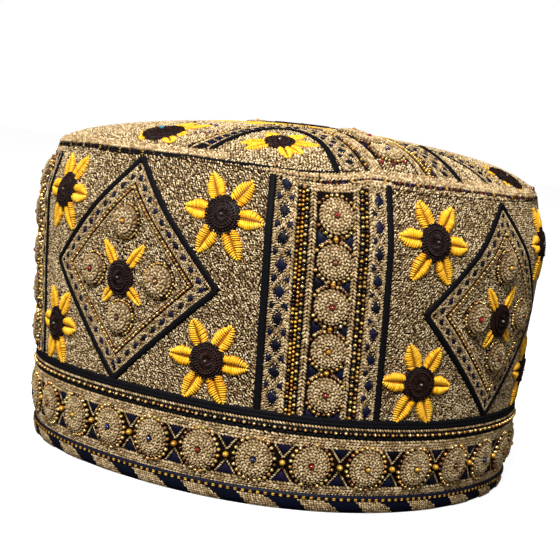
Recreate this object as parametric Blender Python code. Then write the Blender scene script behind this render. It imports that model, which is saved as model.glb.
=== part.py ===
"""Embroidered cap: a barrel-shaped side wall, a raised hem band with a rolled rim under it, a
domed crown panel with a braid round its seam, and raised embroidered panels and sunflowers.

The cap rests on its rim on the plane z = 0, centred on the Z axis.  The middle of its front
band looks along -Y.  All sizes below are millimetres and degrees; MM turns them into metres.
"""
import math

import bmesh
import bpy
import numpy as np
from mathutils import Vector
from mathutils.geometry import delaunay_2d_cdt

MM = 0.001

# Plan outline: a circle with a slight oval and four soft corners at the bands
OVAL = 0.0292
OVAL_AXIS = 38.5
SQUARENESS = 0.0174

# Side wall: height and outer radius, from the rim to the crown seam
WALL_PROFILE = ((0.0, 91.0), (15.0, 93.3), (32.0, 94.6), (50.0, 95.4),
                (70.0, 96.2), (88.0, 96.2), (109.8, 90.4))
SEAM_HEIGHT = WALL_PROFILE[-1][0]
SEAM_RADIUS = WALL_PROFILE[-1][1]
SEAM_WAVE = 0.0146
NARROWING = (0.095, 0.060)
SPREAD = (0.4, 0.83)
MEAN_RADIUS = 95.4
CLOTH = 2.2
GAP = 0.3
TRIM_SEAT = 0.45

WALL_LEVELS = (21.0, 40.0, 60.0, 82.0, 98.0)

# Crown: rise above the seam, and the roundness of its slopes
CROWN_RISE = 16.4
CROWN_LEAN = 1.6
LEAN_SHAPE = (2, 4)
SIDE_SLOPE = (1.9, 2.0)
FRONT_SLOPE = 4.4
CROWN_RINGS = (1.0, 0.98, 0.92, 0.77, 0.46)

# Rolled rim
RIM_HEIGHT = 7.0
RIM_SECTION = ((-1.9, 0.0), (0.8, 0.0), (1.8, 1.6), (2.0, 4.6), (1.5, RIM_HEIGHT),
               (-2.2, RIM_HEIGHT), (-2.2, 1.0))

# Hem band with a row of medallions
HEM_TOP = 31.0
HEM_THICKNESS = 1.6
HEM_MEDALLIONS = 30
HEM_PHASE = 1.2
HEM_ROW_HEIGHT = 16.4

# Medallions and sunflowers
MEDALLION_RADIUS = 5.8
MEDALLION_RISE = 1.3
SHOULDER_RADIUS, SHOULDER_RISE = 0.62, 0.8
SMALL_MEDALLION_RADIUS = 4.9
DISC_RADIUS = 6.2
DISC_RISE = 2.0
DISC_SHOULDERS = (0.9, 0.6)
DISC_SHOULDER_RISE = 0.85
ROUND_SIDES = 8
HALF_SIDE = 180.0 / ROUND_SIDES
PETALS = 6
PETAL_REACH = 13.7
PETAL_WIDTH = 5.6
PETAL_RISE = 0.9

# Four upright bands on the wall
BAND_LEFT = -23.3
BAND_RIGHT = 20.2
BAND_LEAN = -0.026
BAND_COLUMN = 1.3
BAND_PANEL = 0.6
BAND_LINE = 2.2
LINE_RISE = 1.0
BAND_BOTTOM = HEM_TOP + 1.0
BAND_TOP = SEAM_HEIGHT - 2.0
BAND_STEPS = 6
LINE_POINTS = 4
BAND_MEDALLIONS = 5
BAND_TOP_MEDALLION = 99.3
BAND_PITCH = 14.7

# Four diamonds between the bands, with their own sunflower and four medallions
DIAMOND_HEIGHT = 70.0
DIAMOND_HALF_WIDTH = 39.5
DIAMOND_HALF_HEIGHT = 38.2
DIAMOND_MEDALLION_ACROSS = 16.6
DIAMOND_MEDALLION_UP = 16.0
DIAMOND_LINE_INSETS = (3.3, 6.6)
DIAMOND_STEPS = 4
CENTRE_FLOWER_LIFT = 0.4
CENTRE_PETAL_REACH = 14.0
CENTRE_PETAL_ANGLES = (50.0, 130.0, 230.0, 310.0)
CORNER_FLOWER_ACROSS = 22.8
CORNER_FLOWER_UP = 24.1

# Crown embroidery
BRAID_START = 0.5
BRAID_END = 4.0
BRAID_RISE = 1.2
CROWN_BAND_ANGLE = 16.5
CROWN_BAND_HALF_WIDTH = 25.0
CROWN_BAND_INNER = 50.0
CROWN_BAND_EDGE = 5.0
CROWN_BAND_SIDE_POINT = 70.0
CROWN_BAND_MEDALLIONS = (58.0, 73.0)
CROWN_BAND_LINE_POINTS = (55.0, 62.0, 69.0, 75.0)
CROWN_BAND_SUPPORTS = (57.0, 64.0, 71.0, 78.0)
CROWN_FLOWERS = ((-17.0, -71.8, 5.4, 12.2), (-56.0, -49.5, 7.4, 12.4), (70.5, -43.2, 6.2, 10.4))
CENTRE_FLOWER_DISC = 15.0
CENTRE_FLOWER_REACH = 44.0
CENTRE_FLOWER_PETALS = 12
CENTRE_FLOWER_RISE = 1.2

# Fineness: columns round the cap, and samples along a curve that is measured
COLUMNS = 2 * HEM_MEDALLIONS
STEP = 360.0 / COLUMNS
ROUND_SAMPLES = 2881
SLOPE_SAMPLES = 600


def plan_factor(angle):
    """Radius factor of the plan outline at a polar angle in radians."""
    oval = OVAL * np.cos(2 * (angle - math.radians(OVAL_AXIS)))
    return 1 + oval + SQUARENESS * np.cos(4 * angle)


def wave(angle):
    """Height factor that makes the seam rise and fall gently."""
    return 1 - SEAM_WAVE * np.sin(2 * angle)


def polar_table():
    """Polar angles against even distance round the outline, both over one turn."""
    angle = np.linspace(-2 * math.pi, 2 * math.pi, ROUND_SAMPLES)
    factor = plan_factor(angle)
    speed = np.hypot(factor, np.gradient(factor, angle))
    length = np.concatenate([[0.0], np.cumsum((speed[1:] + speed[:-1]) / 2 * np.diff(angle))])
    length -= np.interp(0.0, angle, length)
    turn = np.interp(2 * math.pi, angle, length)
    return length / turn * 360.0, angle


ROUND_DEGREES, ROUND_ANGLE = polar_table()
MM_PER_DEGREE = math.radians(1.0) * MEAN_RADIUS


def profile_radius(height):
    """Outer radius of the wall: a smooth curve through WALL_PROFILE with no overshoot."""
    knots = np.array([point[0] for point in WALL_PROFILE])
    radii = np.array([point[1] for point in WALL_PROFILE])
    step = np.diff(knots)
    slope = np.diff(radii) / step
    tangent = np.empty(len(knots))
    tangent[0], tangent[-1] = slope[0], slope[-1]
    for i in range(1, len(knots) - 1):
        before, after = slope[i - 1], slope[i]
        tangent[i] = 2 * before * after / (before + after) if before * after > 0 else 0.0
    height = np.clip(height, knots[0], knots[-1])
    i = np.clip(np.searchsorted(knots, height, side="right") - 1, 0, len(step) - 1)
    t = (height - knots[i]) / step[i]
    start = (1 + 2 * t) * (1 - t) ** 2 * radii[i] + t * (1 - t) ** 2 * step[i] * tangent[i]
    end = t * t * (3 - 2 * t) * radii[i + 1] + t * t * (t - 1) * step[i] * tangent[i + 1]
    return start + end


def side_factor(height):
    """Factor that draws the cap's sides in below the seam."""
    drop = 1 - np.clip(height, 0, SEAM_HEIGHT) / SEAM_HEIGHT
    return 1 - NARROWING[0] * drop + NARROWING[1] * drop ** 2


def wall_surface(degrees, height):
    """Point of the smooth wall at a place round the cap, in degrees from the front."""
    angle = np.interp(degrees, ROUND_DEGREES, ROUND_ANGLE)
    radius = profile_radius(height) * plan_factor(angle)
    across = radius * np.sin(angle) * side_factor(height)
    return np.stack([across, -radius * np.cos(angle), height * wave(angle)], -1)


def dome(share, angle):
    """Rise of the crown, 0 at its seam and 1 at its top; share runs from 1 at the seam to 0."""
    side = np.sqrt(np.clip(1 - share ** SIDE_SLOPE[0], 0, 1)) ** (2 / SIDE_SLOPE[1])
    front = 1 - share ** FRONT_SLOPE
    blend = np.cos(angle) ** 2
    return blend * front + (1 - blend) * side


def crown_surface(x, y):
    """Point of the smooth crown above a place in plan."""
    angle = np.arctan2(x, -y)
    share = np.minimum(np.hypot(x, y) / (SEAM_RADIUS * plan_factor(angle)), 1.0)
    base = SEAM_HEIGHT * (1 - SEAM_WAVE * np.sin(2 * angle) * share ** 2)
    lean = CROWN_LEAN * np.sin(angle) * share ** LEAN_SHAPE[0] * (1 - share ** LEAN_SHAPE[1])
    return np.stack([x, y, base + CROWN_RISE * dome(share, angle) + lean], -1)


def lifted(surface, u, v, rise):
    """Points of a surface moved out along its normal."""
    u, v = np.asarray(u, float), np.asarray(v, float)
    small = 0.05
    along = surface(u + small, v) - surface(u - small, v)
    up = surface(u, v + small) - surface(u, v - small)
    normal = np.cross(along, up)
    normal /= np.linalg.norm(normal, axis=-1, keepdims=True)
    return surface(u, v) + normal * np.asarray(rise, float)[..., None]


def spread(degrees, height):
    """Degrees moved away from the front and the back where the sides draw in."""
    angle = np.radians(degrees)
    drop = 1 - np.clip(height, 0, SEAM_HEIGHT) / SEAM_HEIGHT
    turned = (1 - side_factor(height)) * np.sin(2 * angle) * (0.5 + np.sin(angle) ** 2)
    return degrees + np.degrees(turned * np.minimum(SPREAD[0] + SPREAD[1] * drop, 1))


def wall_points(across, height, rise, centre):
    """Trim on the wall: across is millimetres from a centre line, in degrees round the cap."""
    height = np.asarray(height, float)
    return lifted(wall_surface, spread(centre + np.asarray(across) / MM_PER_DEGREE, height), height, rise)


def meridian(angle):
    """Shares of the crown's radius from the seam to the top, and the way travelled to each."""
    share = 1 - np.linspace(0, 1, SLOPE_SAMPLES) ** 2
    radius = share * SEAM_RADIUS * plan_factor(angle)
    line = crown_surface(radius * math.sin(angle), -radius * math.cos(angle))
    travelled = np.concatenate([[0.0], np.cumsum(np.linalg.norm(np.diff(line, axis=0), axis=1))])
    return share, travelled


def share_from_seam(angle, distance):
    """Share of the crown's radius that lies a given distance up its slope from the seam."""
    share, travelled = meridian(angle)
    return np.interp(distance, travelled, share)


def crown_points(across, inward, rise, x, y):
    """Trim on the crown: a flat layout bent down the slope round the place (x, y)."""
    angle = math.atan2(x, -y)
    outward = np.array([math.sin(angle), -math.cos(angle)])
    side = np.array([math.cos(angle), math.sin(angle)])
    share, travelled = meridian(angle)
    full = SEAM_RADIUS * plan_factor(angle)
    start = np.interp(-math.hypot(x, y) / full, -share, travelled)
    climb = np.maximum(start + np.asarray(inward), BRAID_END + 2 * GAP)
    radius = np.interp(climb, travelled, share) * full
    plan = np.outer(across, side) + np.outer(radius, outward)
    return lifted(crown_surface, plan[:, 0], plan[:, 1], rise) + np.array([0, 0, GAP])


def make_object(name, verts, faces, material):
    """Turn points in millimetres and faces into one named, smooth-shaded object."""
    mesh = bpy.data.meshes.new(name)
    mesh.from_pydata([Vector(v) * MM for v in verts], [], faces)
    work = bmesh.new()
    work.from_mesh(mesh)
    bmesh.ops.remove_doubles(work, verts=work.verts, dist=1e-6)
    bmesh.ops.triangulate(work, faces=work.faces)
    bmesh.ops.recalc_face_normals(work, faces=work.faces)
    work.to_mesh(mesh)
    work.free()
    mesh.shade_smooth()
    mesh.set_sharp_from_angle(angle=math.radians(40))
    mesh.materials.append(material)
    item = bpy.data.objects.new(name, mesh)
    bpy.context.scene.collection.objects.link(item)
    return item


def make_material(name, colour, roughness):
    """A plain cloth or thread material."""
    material = bpy.data.materials.new(name)
    material.use_nodes = True
    shader = material.node_tree.nodes["Principled BSDF"]
    shader.inputs["Base Color"].default_value = (*colour, 1.0)
    shader.inputs["Roughness"].default_value = roughness
    shader.inputs["Metallic"].default_value = 0.0
    return material


def ring_solid(name, rows, material):
    """Closed ring: rows holds one section, as points in order, for each column round the cap."""
    count = len(rows[0])
    verts = [point for row in rows for point in row]
    faces = []
    for i in range(len(rows)):
        j = (i + 1) % len(rows)
        for k in range(count):
            m = (k + 1) % count
            faces.append((i * count + k, j * count + k, j * count + m, i * count + m))
    return make_object(name, verts, faces, material)


def column_degrees():
    return [HEM_PHASE + STEP * i for i in range(COLUMNS)]


def make_side_wall(material):
    heights = [RIM_HEIGHT + GAP, *WALL_LEVELS, SEAM_HEIGHT]
    rows = []
    for degrees in column_degrees():
        around = np.full(len(heights), degrees)
        outer = wall_surface(around, np.array(heights))
        inner = inset_from_axis(outer, CLOTH)
        rows.append(list(outer) + list(inner[::-1]))
    return ring_solid("side_wall", rows, material)


def inset_from_axis(points, depth):
    """Points moved level towards the Z axis."""
    radius = np.hypot(points[:, 0], points[:, 1])
    moved = points.copy()
    moved[:, :2] *= ((radius - depth) / radius)[:, None]
    return moved


def make_rim(material):
    rows = []
    for degrees in column_degrees():
        row = []
        for offset, height in RIM_SECTION:
            place = wall_surface(np.array([degrees]), np.array([height]))
            place[:, 2] = height
            row.append(inset_from_axis(place, -offset)[0])
        rows.append(row)
    return ring_solid("rim_binding", rows, material)


def circle(x, y, radius, count, start=0.0):
    """Points on a circle, anticlockwise."""
    turns = [math.radians(start) + 2 * math.pi * i / count for i in range(count)]
    return [(x + radius * math.cos(turn), y + radius * math.sin(turn)) for turn in turns]


def medallion_loops(x, y, radius, base, rise):
    """Rim, shoulder and middle of one domed medallion, as (points, height) loops."""
    return [(circle(x, y, radius, ROUND_SIDES, HALF_SIDE), base),
            (circle(x, y, radius * SHOULDER_RADIUS, ROUND_SIDES, HALF_SIDE), base + rise * SHOULDER_RISE),
            ([(x, y)], base + rise)]


def fill_layout(outline, loops, outline_rise):
    """Triangulate an outline with inner loops: returns flat points, heights and triangles."""
    points = [Vector(p) for p in outline]
    rises = [outline_rise] * len(outline)
    edges = []
    for loop, rise in loops:
        first = len(points)
        points += [Vector(p) for p in loop]
        rises += [rise] * len(loop)
        if len(loop) > 2:
            edges += [(first + i, first + (i + 1) % len(loop)) for i in range(len(loop))]
    border = [list(range(len(outline)))]
    found = delaunay_2d_cdt(points, edges, border, 1, 1e-5)
    flat, triangles, sources = found[0], found[2], found[3]
    heights = [rises[source[0]] for source in sources]
    order = [source[0] for source in sources]
    return [tuple(p) for p in flat], heights, triangles, order


def trim_solid(name, outline, loops, supports, outline_rise, place, material):
    """Closed raised trim: a top from the loops, an underside on supports, and its edge."""
    top, rises, top_faces, top_order = fill_layout(outline, loops, outline_rise)
    under, _, under_faces, under_order = fill_layout(outline, [([p], 0.0) for p in supports], 0.0)
    top_xy, under_xy = np.array(top), np.array(under)
    upper = place(top_xy[:, 0], top_xy[:, 1], TRIM_SEAT + np.array(rises))
    lower = place(under_xy[:, 0], under_xy[:, 1], np.full(len(under), TRIM_SEAT))
    verts = list(upper) + list(lower)
    shift = len(top)
    faces = [tuple(face) for face in top_faces]
    faces += [tuple(shift + i for i in reversed(face)) for face in under_faces]
    top_at = {source: i for i, source in enumerate(top_order)}
    under_at = {source: i + shift for i, source in enumerate(under_order)}
    for i in range(len(outline)):
        j = (i + 1) % len(outline)
        faces.append((top_at[j], top_at[i], under_at[i], under_at[j]))
    return make_object(name, verts, faces, material)


def flower_outline(disc, reach, width, angles):
    """Outline of a flower: pointed petals that leave its round disc."""
    points = []
    ordered = sorted(angles)
    for number, degrees in enumerate(ordered):
        turn = math.radians(degrees)
        middle = (disc + reach) / 2
        for along, side in ((middle, -width / 2), (reach, 0.0), (middle, width / 2)):
            points.append((along * math.cos(turn) - side * math.sin(turn),
                           along * math.sin(turn) + side * math.cos(turn)))
        following = ordered[(number + 1) % len(ordered)]
        space = (following - degrees) % 360.0
        notches = max(1, round(space / 45.0))
        for notch in range(notches):
            share = (notch + 1) / (notches + 1)
            turn_between = math.radians(degrees + space * share)
            points.append((disc * math.cos(turn_between), disc * math.sin(turn_between)))
    return points


def flower_loops(disc, rise):
    """Domed disc of a flower."""
    outer, inner = DISC_SHOULDERS
    return [(circle(0, 0, disc * outer, ROUND_SIDES, HALF_SIDE), PETAL_RISE),
            (circle(0, 0, disc * inner, ROUND_SIDES, HALF_SIDE), rise * DISC_SHOULDER_RISE),
            ([(0, 0)], rise)]


def make_flower(name, disc, reach, place, material):
    angles = [360.0 / PETALS * i for i in range(PETALS)]
    outline = flower_outline(disc, reach, PETAL_WIDTH, angles)
    supports = [(0.0, 0.0)]
    loops = flower_loops(disc, DISC_RISE)
    return trim_solid(name, outline, loops, supports, PETAL_RISE, place, material)


def grid_edge(corners, counts):
    """Outline through corners, each side cut into the given number of steps."""
    points = []
    for i, (x, y) in enumerate(corners):
        next_x, next_y = corners[(i + 1) % len(corners)]
        for k in range(counts[i]):
            share = k / counts[i]
            points.append((x + (next_x - x) * share, y + (next_y - y) * share))
    return points


def make_hem_band(material):
    """Ring of equal cells, each with one medallion; neighbours share their edge points."""
    half = STEP * MM_PER_DEGREE
    low, high = RIM_HEIGHT + 2 * GAP, HEM_TOP
    levels = [low, (low + high) / 2, high]
    outline = grid_edge([(-half, low), (half, low), (half, high), (-half, high)], [2, 2, 2, 2])
    loops = medallion_loops(0.0, HEM_ROW_HEIGHT, MEDALLION_RADIUS, HEM_THICKNESS,
                            MEDALLION_RISE)
    top, rises, top_faces, _ = fill_layout(outline, loops, HEM_THICKNESS)
    top_xy = np.array(top)
    verts, faces = [], []
    for cell in range(HEM_MEDALLIONS):
        centre = HEM_PHASE + 2 * STEP * cell
        start = len(verts)
        verts += list(wall_points(top_xy[:, 0], top_xy[:, 1], GAP + np.array(rises), centre))
        faces += [tuple(start + i for i in face) for face in top_faces]
        start = len(verts)
        across = np.array([x for x in (-half, 0.0, half) for _ in levels])
        up = np.array(levels * 3)
        verts += list(wall_points(across, up, np.full(9, GAP), centre))
        for column in range(2):
            for row in range(2):
                corner = start + column * 3 + row
                faces.append((corner, corner + 1, corner + 4, corner + 3))
        for level in (low, high):
            outer = wall_points([-half, 0.0, half], [level] * 3,
                                np.full(3, GAP + HEM_THICKNESS), centre)
            inner = wall_points([-half, 0.0, half], [level] * 3, np.full(3, GAP), centre)
            start = len(verts)
            verts += list(outer) + list(inner)
            for k in range(2):
                faces.append((start + k, start + k + 1, start + k + 4, start + k + 3))
    return make_object("hem_band", verts, faces, material)


def make_band(name, centre, material):
    """Upright panel with a raised line down each side and a column of medallions."""
    low, high = BAND_BOTTOM, BAND_TOP
    outline = grid_edge([(BAND_LEFT, low), (BAND_RIGHT, low),
                         (BAND_RIGHT, high), (BAND_LEFT, high)], [BAND_STEPS] * 4)
    loops = []
    for number in range(BAND_MEDALLIONS):
        up = BAND_TOP_MEDALLION - BAND_PITCH * number
        loops += medallion_loops(0.0, up, MEDALLION_RADIUS, BAND_PANEL, MEDALLION_RISE)
    for edge, inner in ((BAND_LEFT, BAND_LEFT + BAND_LINE), (BAND_RIGHT, BAND_RIGHT - BAND_LINE)):
        middle = (edge + inner) / 2
        for k in range(LINE_POINTS):
            up = low + (high - low) * (k + 0.5) / LINE_POINTS
            loops.append(([(middle, up)], LINE_RISE))
            loops.append(([(inner, up)], BAND_PANEL))
    steps = range(1, BAND_STEPS)
    columns = [BAND_LEFT + (BAND_RIGHT - BAND_LEFT) * k / BAND_STEPS for k in steps]
    supports = [(x, low + (high - low) * k / BAND_STEPS) for x in columns for k in steps]

    def place(across, up, rise):
        lean = BAND_LEAN * (np.asarray(up) - DIAMOND_HEIGHT)
        return wall_points(across, up, rise, centre + BAND_COLUMN + lean)

    return trim_solid(name, outline, loops, supports, BAND_PANEL, place, material)


def make_diamond(name, centre, material):
    """Diamond panel with a raised edge line, four medallions and its own sunflower."""
    wide, tall = DIAMOND_HALF_WIDTH, DIAMOND_HALF_HEIGHT
    outline = grid_edge([(wide, 0.0), (0.0, tall), (-wide, 0.0), (0.0, -tall)], [5, 5, 5, 5])
    share = 1 - DIAMOND_LINE_INSETS[0] / wide
    loops = [([(x * share, y * share) for x, y in outline], LINE_RISE)]
    share = 1 - DIAMOND_LINE_INSETS[1] / wide
    inner = grid_edge([(wide * share, 0.0), (0.0, tall * share),
                       (-wide * share, 0.0), (0.0, -tall * share)], [3, 3, 3, 3])
    loops.append((inner, BAND_PANEL))
    for x, y in ((DIAMOND_MEDALLION_ACROSS, 0.0), (0.0, DIAMOND_MEDALLION_UP),
                 (-DIAMOND_MEDALLION_ACROSS, 0.0), (0.0, -DIAMOND_MEDALLION_UP)):
        loops += medallion_loops(x, y, SMALL_MEDALLION_RADIUS, BAND_PANEL, MEDALLION_RISE)
    petals = flower_outline(DISC_RADIUS, CENTRE_PETAL_REACH, PETAL_WIDTH, CENTRE_PETAL_ANGLES)
    loops.append((petals, BAND_PANEL + CENTRE_FLOWER_LIFT))
    loops += [(points, rise + CENTRE_FLOWER_LIFT) for points, rise in flower_loops(DISC_RADIUS, DISC_RISE)]
    steps = range(1 - DIAMOND_STEPS, DIAMOND_STEPS)
    supports = [(wide * i / DIAMOND_STEPS, tall * j / DIAMOND_STEPS) for i in steps for j in steps
                if abs(i) + abs(j) < DIAMOND_STEPS]

    def place(across, up, rise):
        return wall_points(across, DIAMOND_HEIGHT + np.asarray(up), rise, centre)

    return trim_solid(name, outline, loops, supports, BAND_PANEL, place, material)


def make_corner_flowers(corner, centre, material):
    """Four sunflowers round one diamond."""
    for name, side, up in (("upper_left", -1, 1), ("upper_right", 1, 1),
                           ("lower_left", -1, -1), ("lower_right", 1, -1)):
        middle = centre + side * CORNER_FLOWER_ACROSS
        height = DIAMOND_HEIGHT + up * CORNER_FLOWER_UP

        def place(across, above, rise, middle=middle, height=height):
            return wall_points(across, height + np.asarray(above), rise, middle)

        make_flower(f"flower_{corner}_{name}", DISC_RADIUS, PETAL_REACH, place, material)


def make_crown_panel(material):
    """Domed shell whose inner face is the outer one drawn in by the cloth."""
    angles = [np.interp(degrees, ROUND_DEGREES, ROUND_ANGLE) for degrees in column_degrees()]
    verts, faces = [], []
    for cloth in (0.0, CLOTH):
        for share in CROWN_RINGS:
            for angle in angles:
                radius = share * SEAM_RADIUS * plan_factor(angle)
                point = crown_surface(radius * math.sin(angle), -radius * math.cos(angle))
                rise = CROWN_RISE * dome(share, angle)
                shrink = 1 - cloth * share / radius
                point[:2] *= shrink
                point[2] += GAP - rise * cloth / CROWN_RISE
                verts.append(point)
        verts.append(np.array([0.0, 0.0, SEAM_HEIGHT + GAP + CROWN_RISE - cloth]))
    layer = len(CROWN_RINGS) * COLUMNS + 1
    for base in (0, layer):
        for ring in range(len(CROWN_RINGS) - 1):
            for i in range(COLUMNS):
                j = (i + 1) % COLUMNS
                a, b = base + ring * COLUMNS, base + (ring + 1) * COLUMNS
                faces.append((a + i, a + j, b + j, b + i))
        last = base + (len(CROWN_RINGS) - 1) * COLUMNS
        top = base + layer - 1
        faces += [(last + i, last + (i + 1) % COLUMNS, top) for i in range(COLUMNS)]
    for i in range(COLUMNS):
        j = (i + 1) % COLUMNS
        faces.append((i, j, layer + j, layer + i))
    return make_object("crown_panel", verts, faces, material)


def make_crown_braid(material):
    """Plaited ring that lies on the edge of the crown, just above the seam."""
    span = BRAID_END - BRAID_START
    section = ((0.0, TRIM_SEAT), (0.1, TRIM_SEAT + 0.8), (0.5, TRIM_SEAT + BRAID_RISE),
               (0.9, TRIM_SEAT + 0.8), (1.0, TRIM_SEAT))
    rows = []
    for degrees in column_degrees():
        angle = float(np.interp(degrees, ROUND_DEGREES, ROUND_ANGLE))
        row = []
        for along, rise in section:
            share = share_from_seam(angle, BRAID_START + span * along)
            radius = share * SEAM_RADIUS * plan_factor(angle)
            spot = np.array([radius * math.sin(angle)]), np.array([-radius * math.cos(angle)])
            row.append(lifted(crown_surface, *spot, np.array([rise]))[0] + (0, 0, GAP))
        rows.append(row)
    return ring_solid("crown_braid", rows, material)


def make_crown_band(name, turn, material):
    """Radial panel on the crown with raised side lines and medallions."""
    angle = math.radians(CROWN_BAND_ANGLE + turn)
    outward = np.array([math.sin(angle), -math.cos(angle)])
    side = np.array([math.cos(angle), math.sin(angle)])

    def outer_end(across):
        reach = np.linspace(CROWN_BAND_INNER, SEAM_RADIUS, SLOPE_SAMPLES)
        plan = across * side + reach[:, None] * outward
        there = np.arctan2(plan[:, 0], -plan[:, 1])
        limit = share_from_seam(float(np.median(there)), CROWN_BAND_EDGE)
        share = np.hypot(plan[:, 0], plan[:, 1]) / (SEAM_RADIUS * plan_factor(there))
        return float(np.interp(limit, share, reach))

    half = CROWN_BAND_HALF_WIDTH
    steps = [half * (k / 3 - 1) for k in range(7)]
    outline = [(x, outer_end(x)) for x in reversed(steps)]
    outline += [(-half, CROWN_BAND_SIDE_POINT)]
    outline += [(x, CROWN_BAND_INNER) for x in steps]
    outline += [(half, CROWN_BAND_SIDE_POINT)]
    loops = []
    for out in CROWN_BAND_MEDALLIONS:
        loops += medallion_loops(0.0, out, MEDALLION_RADIUS, BAND_PANEL, MEDALLION_RISE)
    for sign in (-1, 1):
        for out in CROWN_BAND_LINE_POINTS:
            loops.append(([(sign * (half - BAND_LINE / 2), out)], LINE_RISE))
            loops.append(([(sign * (half - BAND_LINE), out)], BAND_PANEL))
    supports = [(x, out) for x in (-0.6 * half, 0.0, 0.6 * half) for out in CROWN_BAND_SUPPORTS]
    outline = outline[::-1]

    def place(across, out, rise):
        plan = np.outer(across, side) + np.outer(out, outward)
        return lifted(crown_surface, plan[:, 0], plan[:, 1], rise) + np.array([0, 0, GAP])

    return trim_solid(name, outline, loops, supports, BAND_PANEL, place, material)


def make_crown_flowers(material):
    """Sunflowers of the crown, each with its twin half a turn away, and the large middle one."""
    for number, (x, y, disc, reach) in enumerate(CROWN_FLOWERS):
        for label, sign in (("a", 1), ("b", -1)):

            def place(across, inward, rise, x=x * sign, y=y * sign):
                return crown_points(across, inward, rise, x, y)

            make_flower(f"crown_flower_{number + 1}{label}", disc, reach, place, material)
    angles = [360.0 / CENTRE_FLOWER_PETALS * i for i in range(CENTRE_FLOWER_PETALS)]
    outline = flower_outline(CENTRE_FLOWER_DISC, CENTRE_FLOWER_REACH, 2 * PETAL_WIDTH, angles)
    supports = circle(0, 0, CENTRE_FLOWER_DISC * 0.5, 6)
    loops = flower_loops(CENTRE_FLOWER_DISC, CENTRE_FLOWER_RISE)

    def middle_place(across, up, rise):
        return lifted(crown_surface, across, up, rise) + np.array([0, 0, GAP])

    trim_solid("crown_flower_middle", outline, loops, supports, PETAL_RISE, middle_place, material)


def clear_scene():
    for item in list(bpy.data.objects):
        bpy.data.objects.remove(item, do_unlink=True)


def main():
    clear_scene()
    tan, dark_tan, gold = (0.44, 0.34, 0.20), (0.36, 0.27, 0.16), (0.80, 0.47, 0.04)
    make_side_wall(make_material("wall_cloth", tan, 0.85))
    make_rim(make_material("rim_cloth", dark_tan, 0.85))
    make_hem_band(make_material("hem_cloth", dark_tan, 0.85))
    make_crown_panel(make_material("crown_cloth", tan, 0.85))
    make_crown_braid(make_material("braid_thread", tan, 0.8))
    for turn, name in ((0, "front"), (90, "right"), (180, "back"), (270, "left")):
        make_band(f"band_{name}", turn, make_material(f"band_thread_{name}", dark_tan, 0.8))
    for turn, name in ((45, "front_right"), (135, "back_right"),
                       (225, "back_left"), (315, "front_left")):
        make_diamond(f"diamond_{name}", turn, make_material(f"diamond_thread_{name}", dark_tan, 0.8))
        make_corner_flowers(name, turn, make_material(f"flower_silk_{name}", gold, 0.55))
    for turn, name in ((0, "front"), (180, "back")):
        make_crown_band(f"crown_band_{name}", turn, make_material(f"crown_thread_{name}", dark_tan, 0.8))
    make_crown_flowers(make_material("crown_silk", gold, 0.55))


main()
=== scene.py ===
"""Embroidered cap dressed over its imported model: stitches, plaits, beads and satin lines are
meshes laid on the cap's own curved surface.  Sizes are millimetres and degrees."""
import math

import bpy
import numpy as np
from mathutils import Matrix, Vector


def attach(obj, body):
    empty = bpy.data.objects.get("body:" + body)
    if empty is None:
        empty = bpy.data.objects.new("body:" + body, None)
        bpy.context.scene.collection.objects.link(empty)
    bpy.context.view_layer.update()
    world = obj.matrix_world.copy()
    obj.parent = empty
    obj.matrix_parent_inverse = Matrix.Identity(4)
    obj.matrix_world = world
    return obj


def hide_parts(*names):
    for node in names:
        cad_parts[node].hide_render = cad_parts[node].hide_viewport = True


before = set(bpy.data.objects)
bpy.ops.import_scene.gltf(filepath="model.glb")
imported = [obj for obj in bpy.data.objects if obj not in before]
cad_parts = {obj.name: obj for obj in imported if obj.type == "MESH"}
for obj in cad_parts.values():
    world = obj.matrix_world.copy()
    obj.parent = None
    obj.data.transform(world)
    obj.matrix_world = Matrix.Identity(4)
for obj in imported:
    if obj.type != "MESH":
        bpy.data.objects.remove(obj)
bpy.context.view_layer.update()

MM = 0.001
rng = np.random.default_rng(11)

# Shape of the cap, as in its solids
OVAL, OVAL_AXIS, SQUARENESS = 0.0292, 38.5, 0.0174
WALL_PROFILE = ((0.0, 91.0), (15.0, 93.3), (32.0, 94.6), (50.0, 95.4),
                (70.0, 96.2), (88.0, 96.2), (109.8, 90.4))
SEAM_HEIGHT, SEAM_RADIUS = WALL_PROFILE[-1]
SEAM_WAVE = 0.0146
NARROWING, SPREAD = (0.095, 0.060), (0.4, 0.83)
CROWN_RISE, CROWN_LEAN, LEAN_SHAPE = 16.4, 1.6, (2, 4)
SIDE_SLOPE, FRONT_SLOPE = 1.9, 4.4
CLOTH, GAP = 2.2, 0.3
LAYOUT_RADIUS = 95.4
MM_PER_DEGREE = math.radians(1.0) * LAYOUT_RADIUS
TURN = 360.0 * MM_PER_DEGREE

# Groove at the seam: distance up the crown's slope against degrees, repeated after half a turn
GROOVE = ((-12.0, -0.5), (-9.0, -1.25), (-6.8, -1.15), (-4.2, -0.95), (-1.2, -0.5), (2.0, 0.3),
          (5.2, 1.9), (7.8, 3.2), (10.0, 3.4), (13.5, 3.1), (20.0, 3.0), (31.0, 3.1), (38.0, 2.6),
          (45.5, 1.95), (52.5, 1.3), (63.0, 0.75), (100.0, 0.2), (110.0, 0.4), (120.0, 0.3),
          (127.0, 0.25), (133.5, 0.2), (139.0, 0.6), (145.0, 1.0), (150.0, 1.3), (159.0, 1.6),
          (167.0, 2.0), (172.5, 2.3), (175.7, 2.95), (179.0, 3.95), (180.8, 5.0))
GROOVE_START, GROOVE_END = GROOVE[0][0], GROOVE[-1][0]

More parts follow.
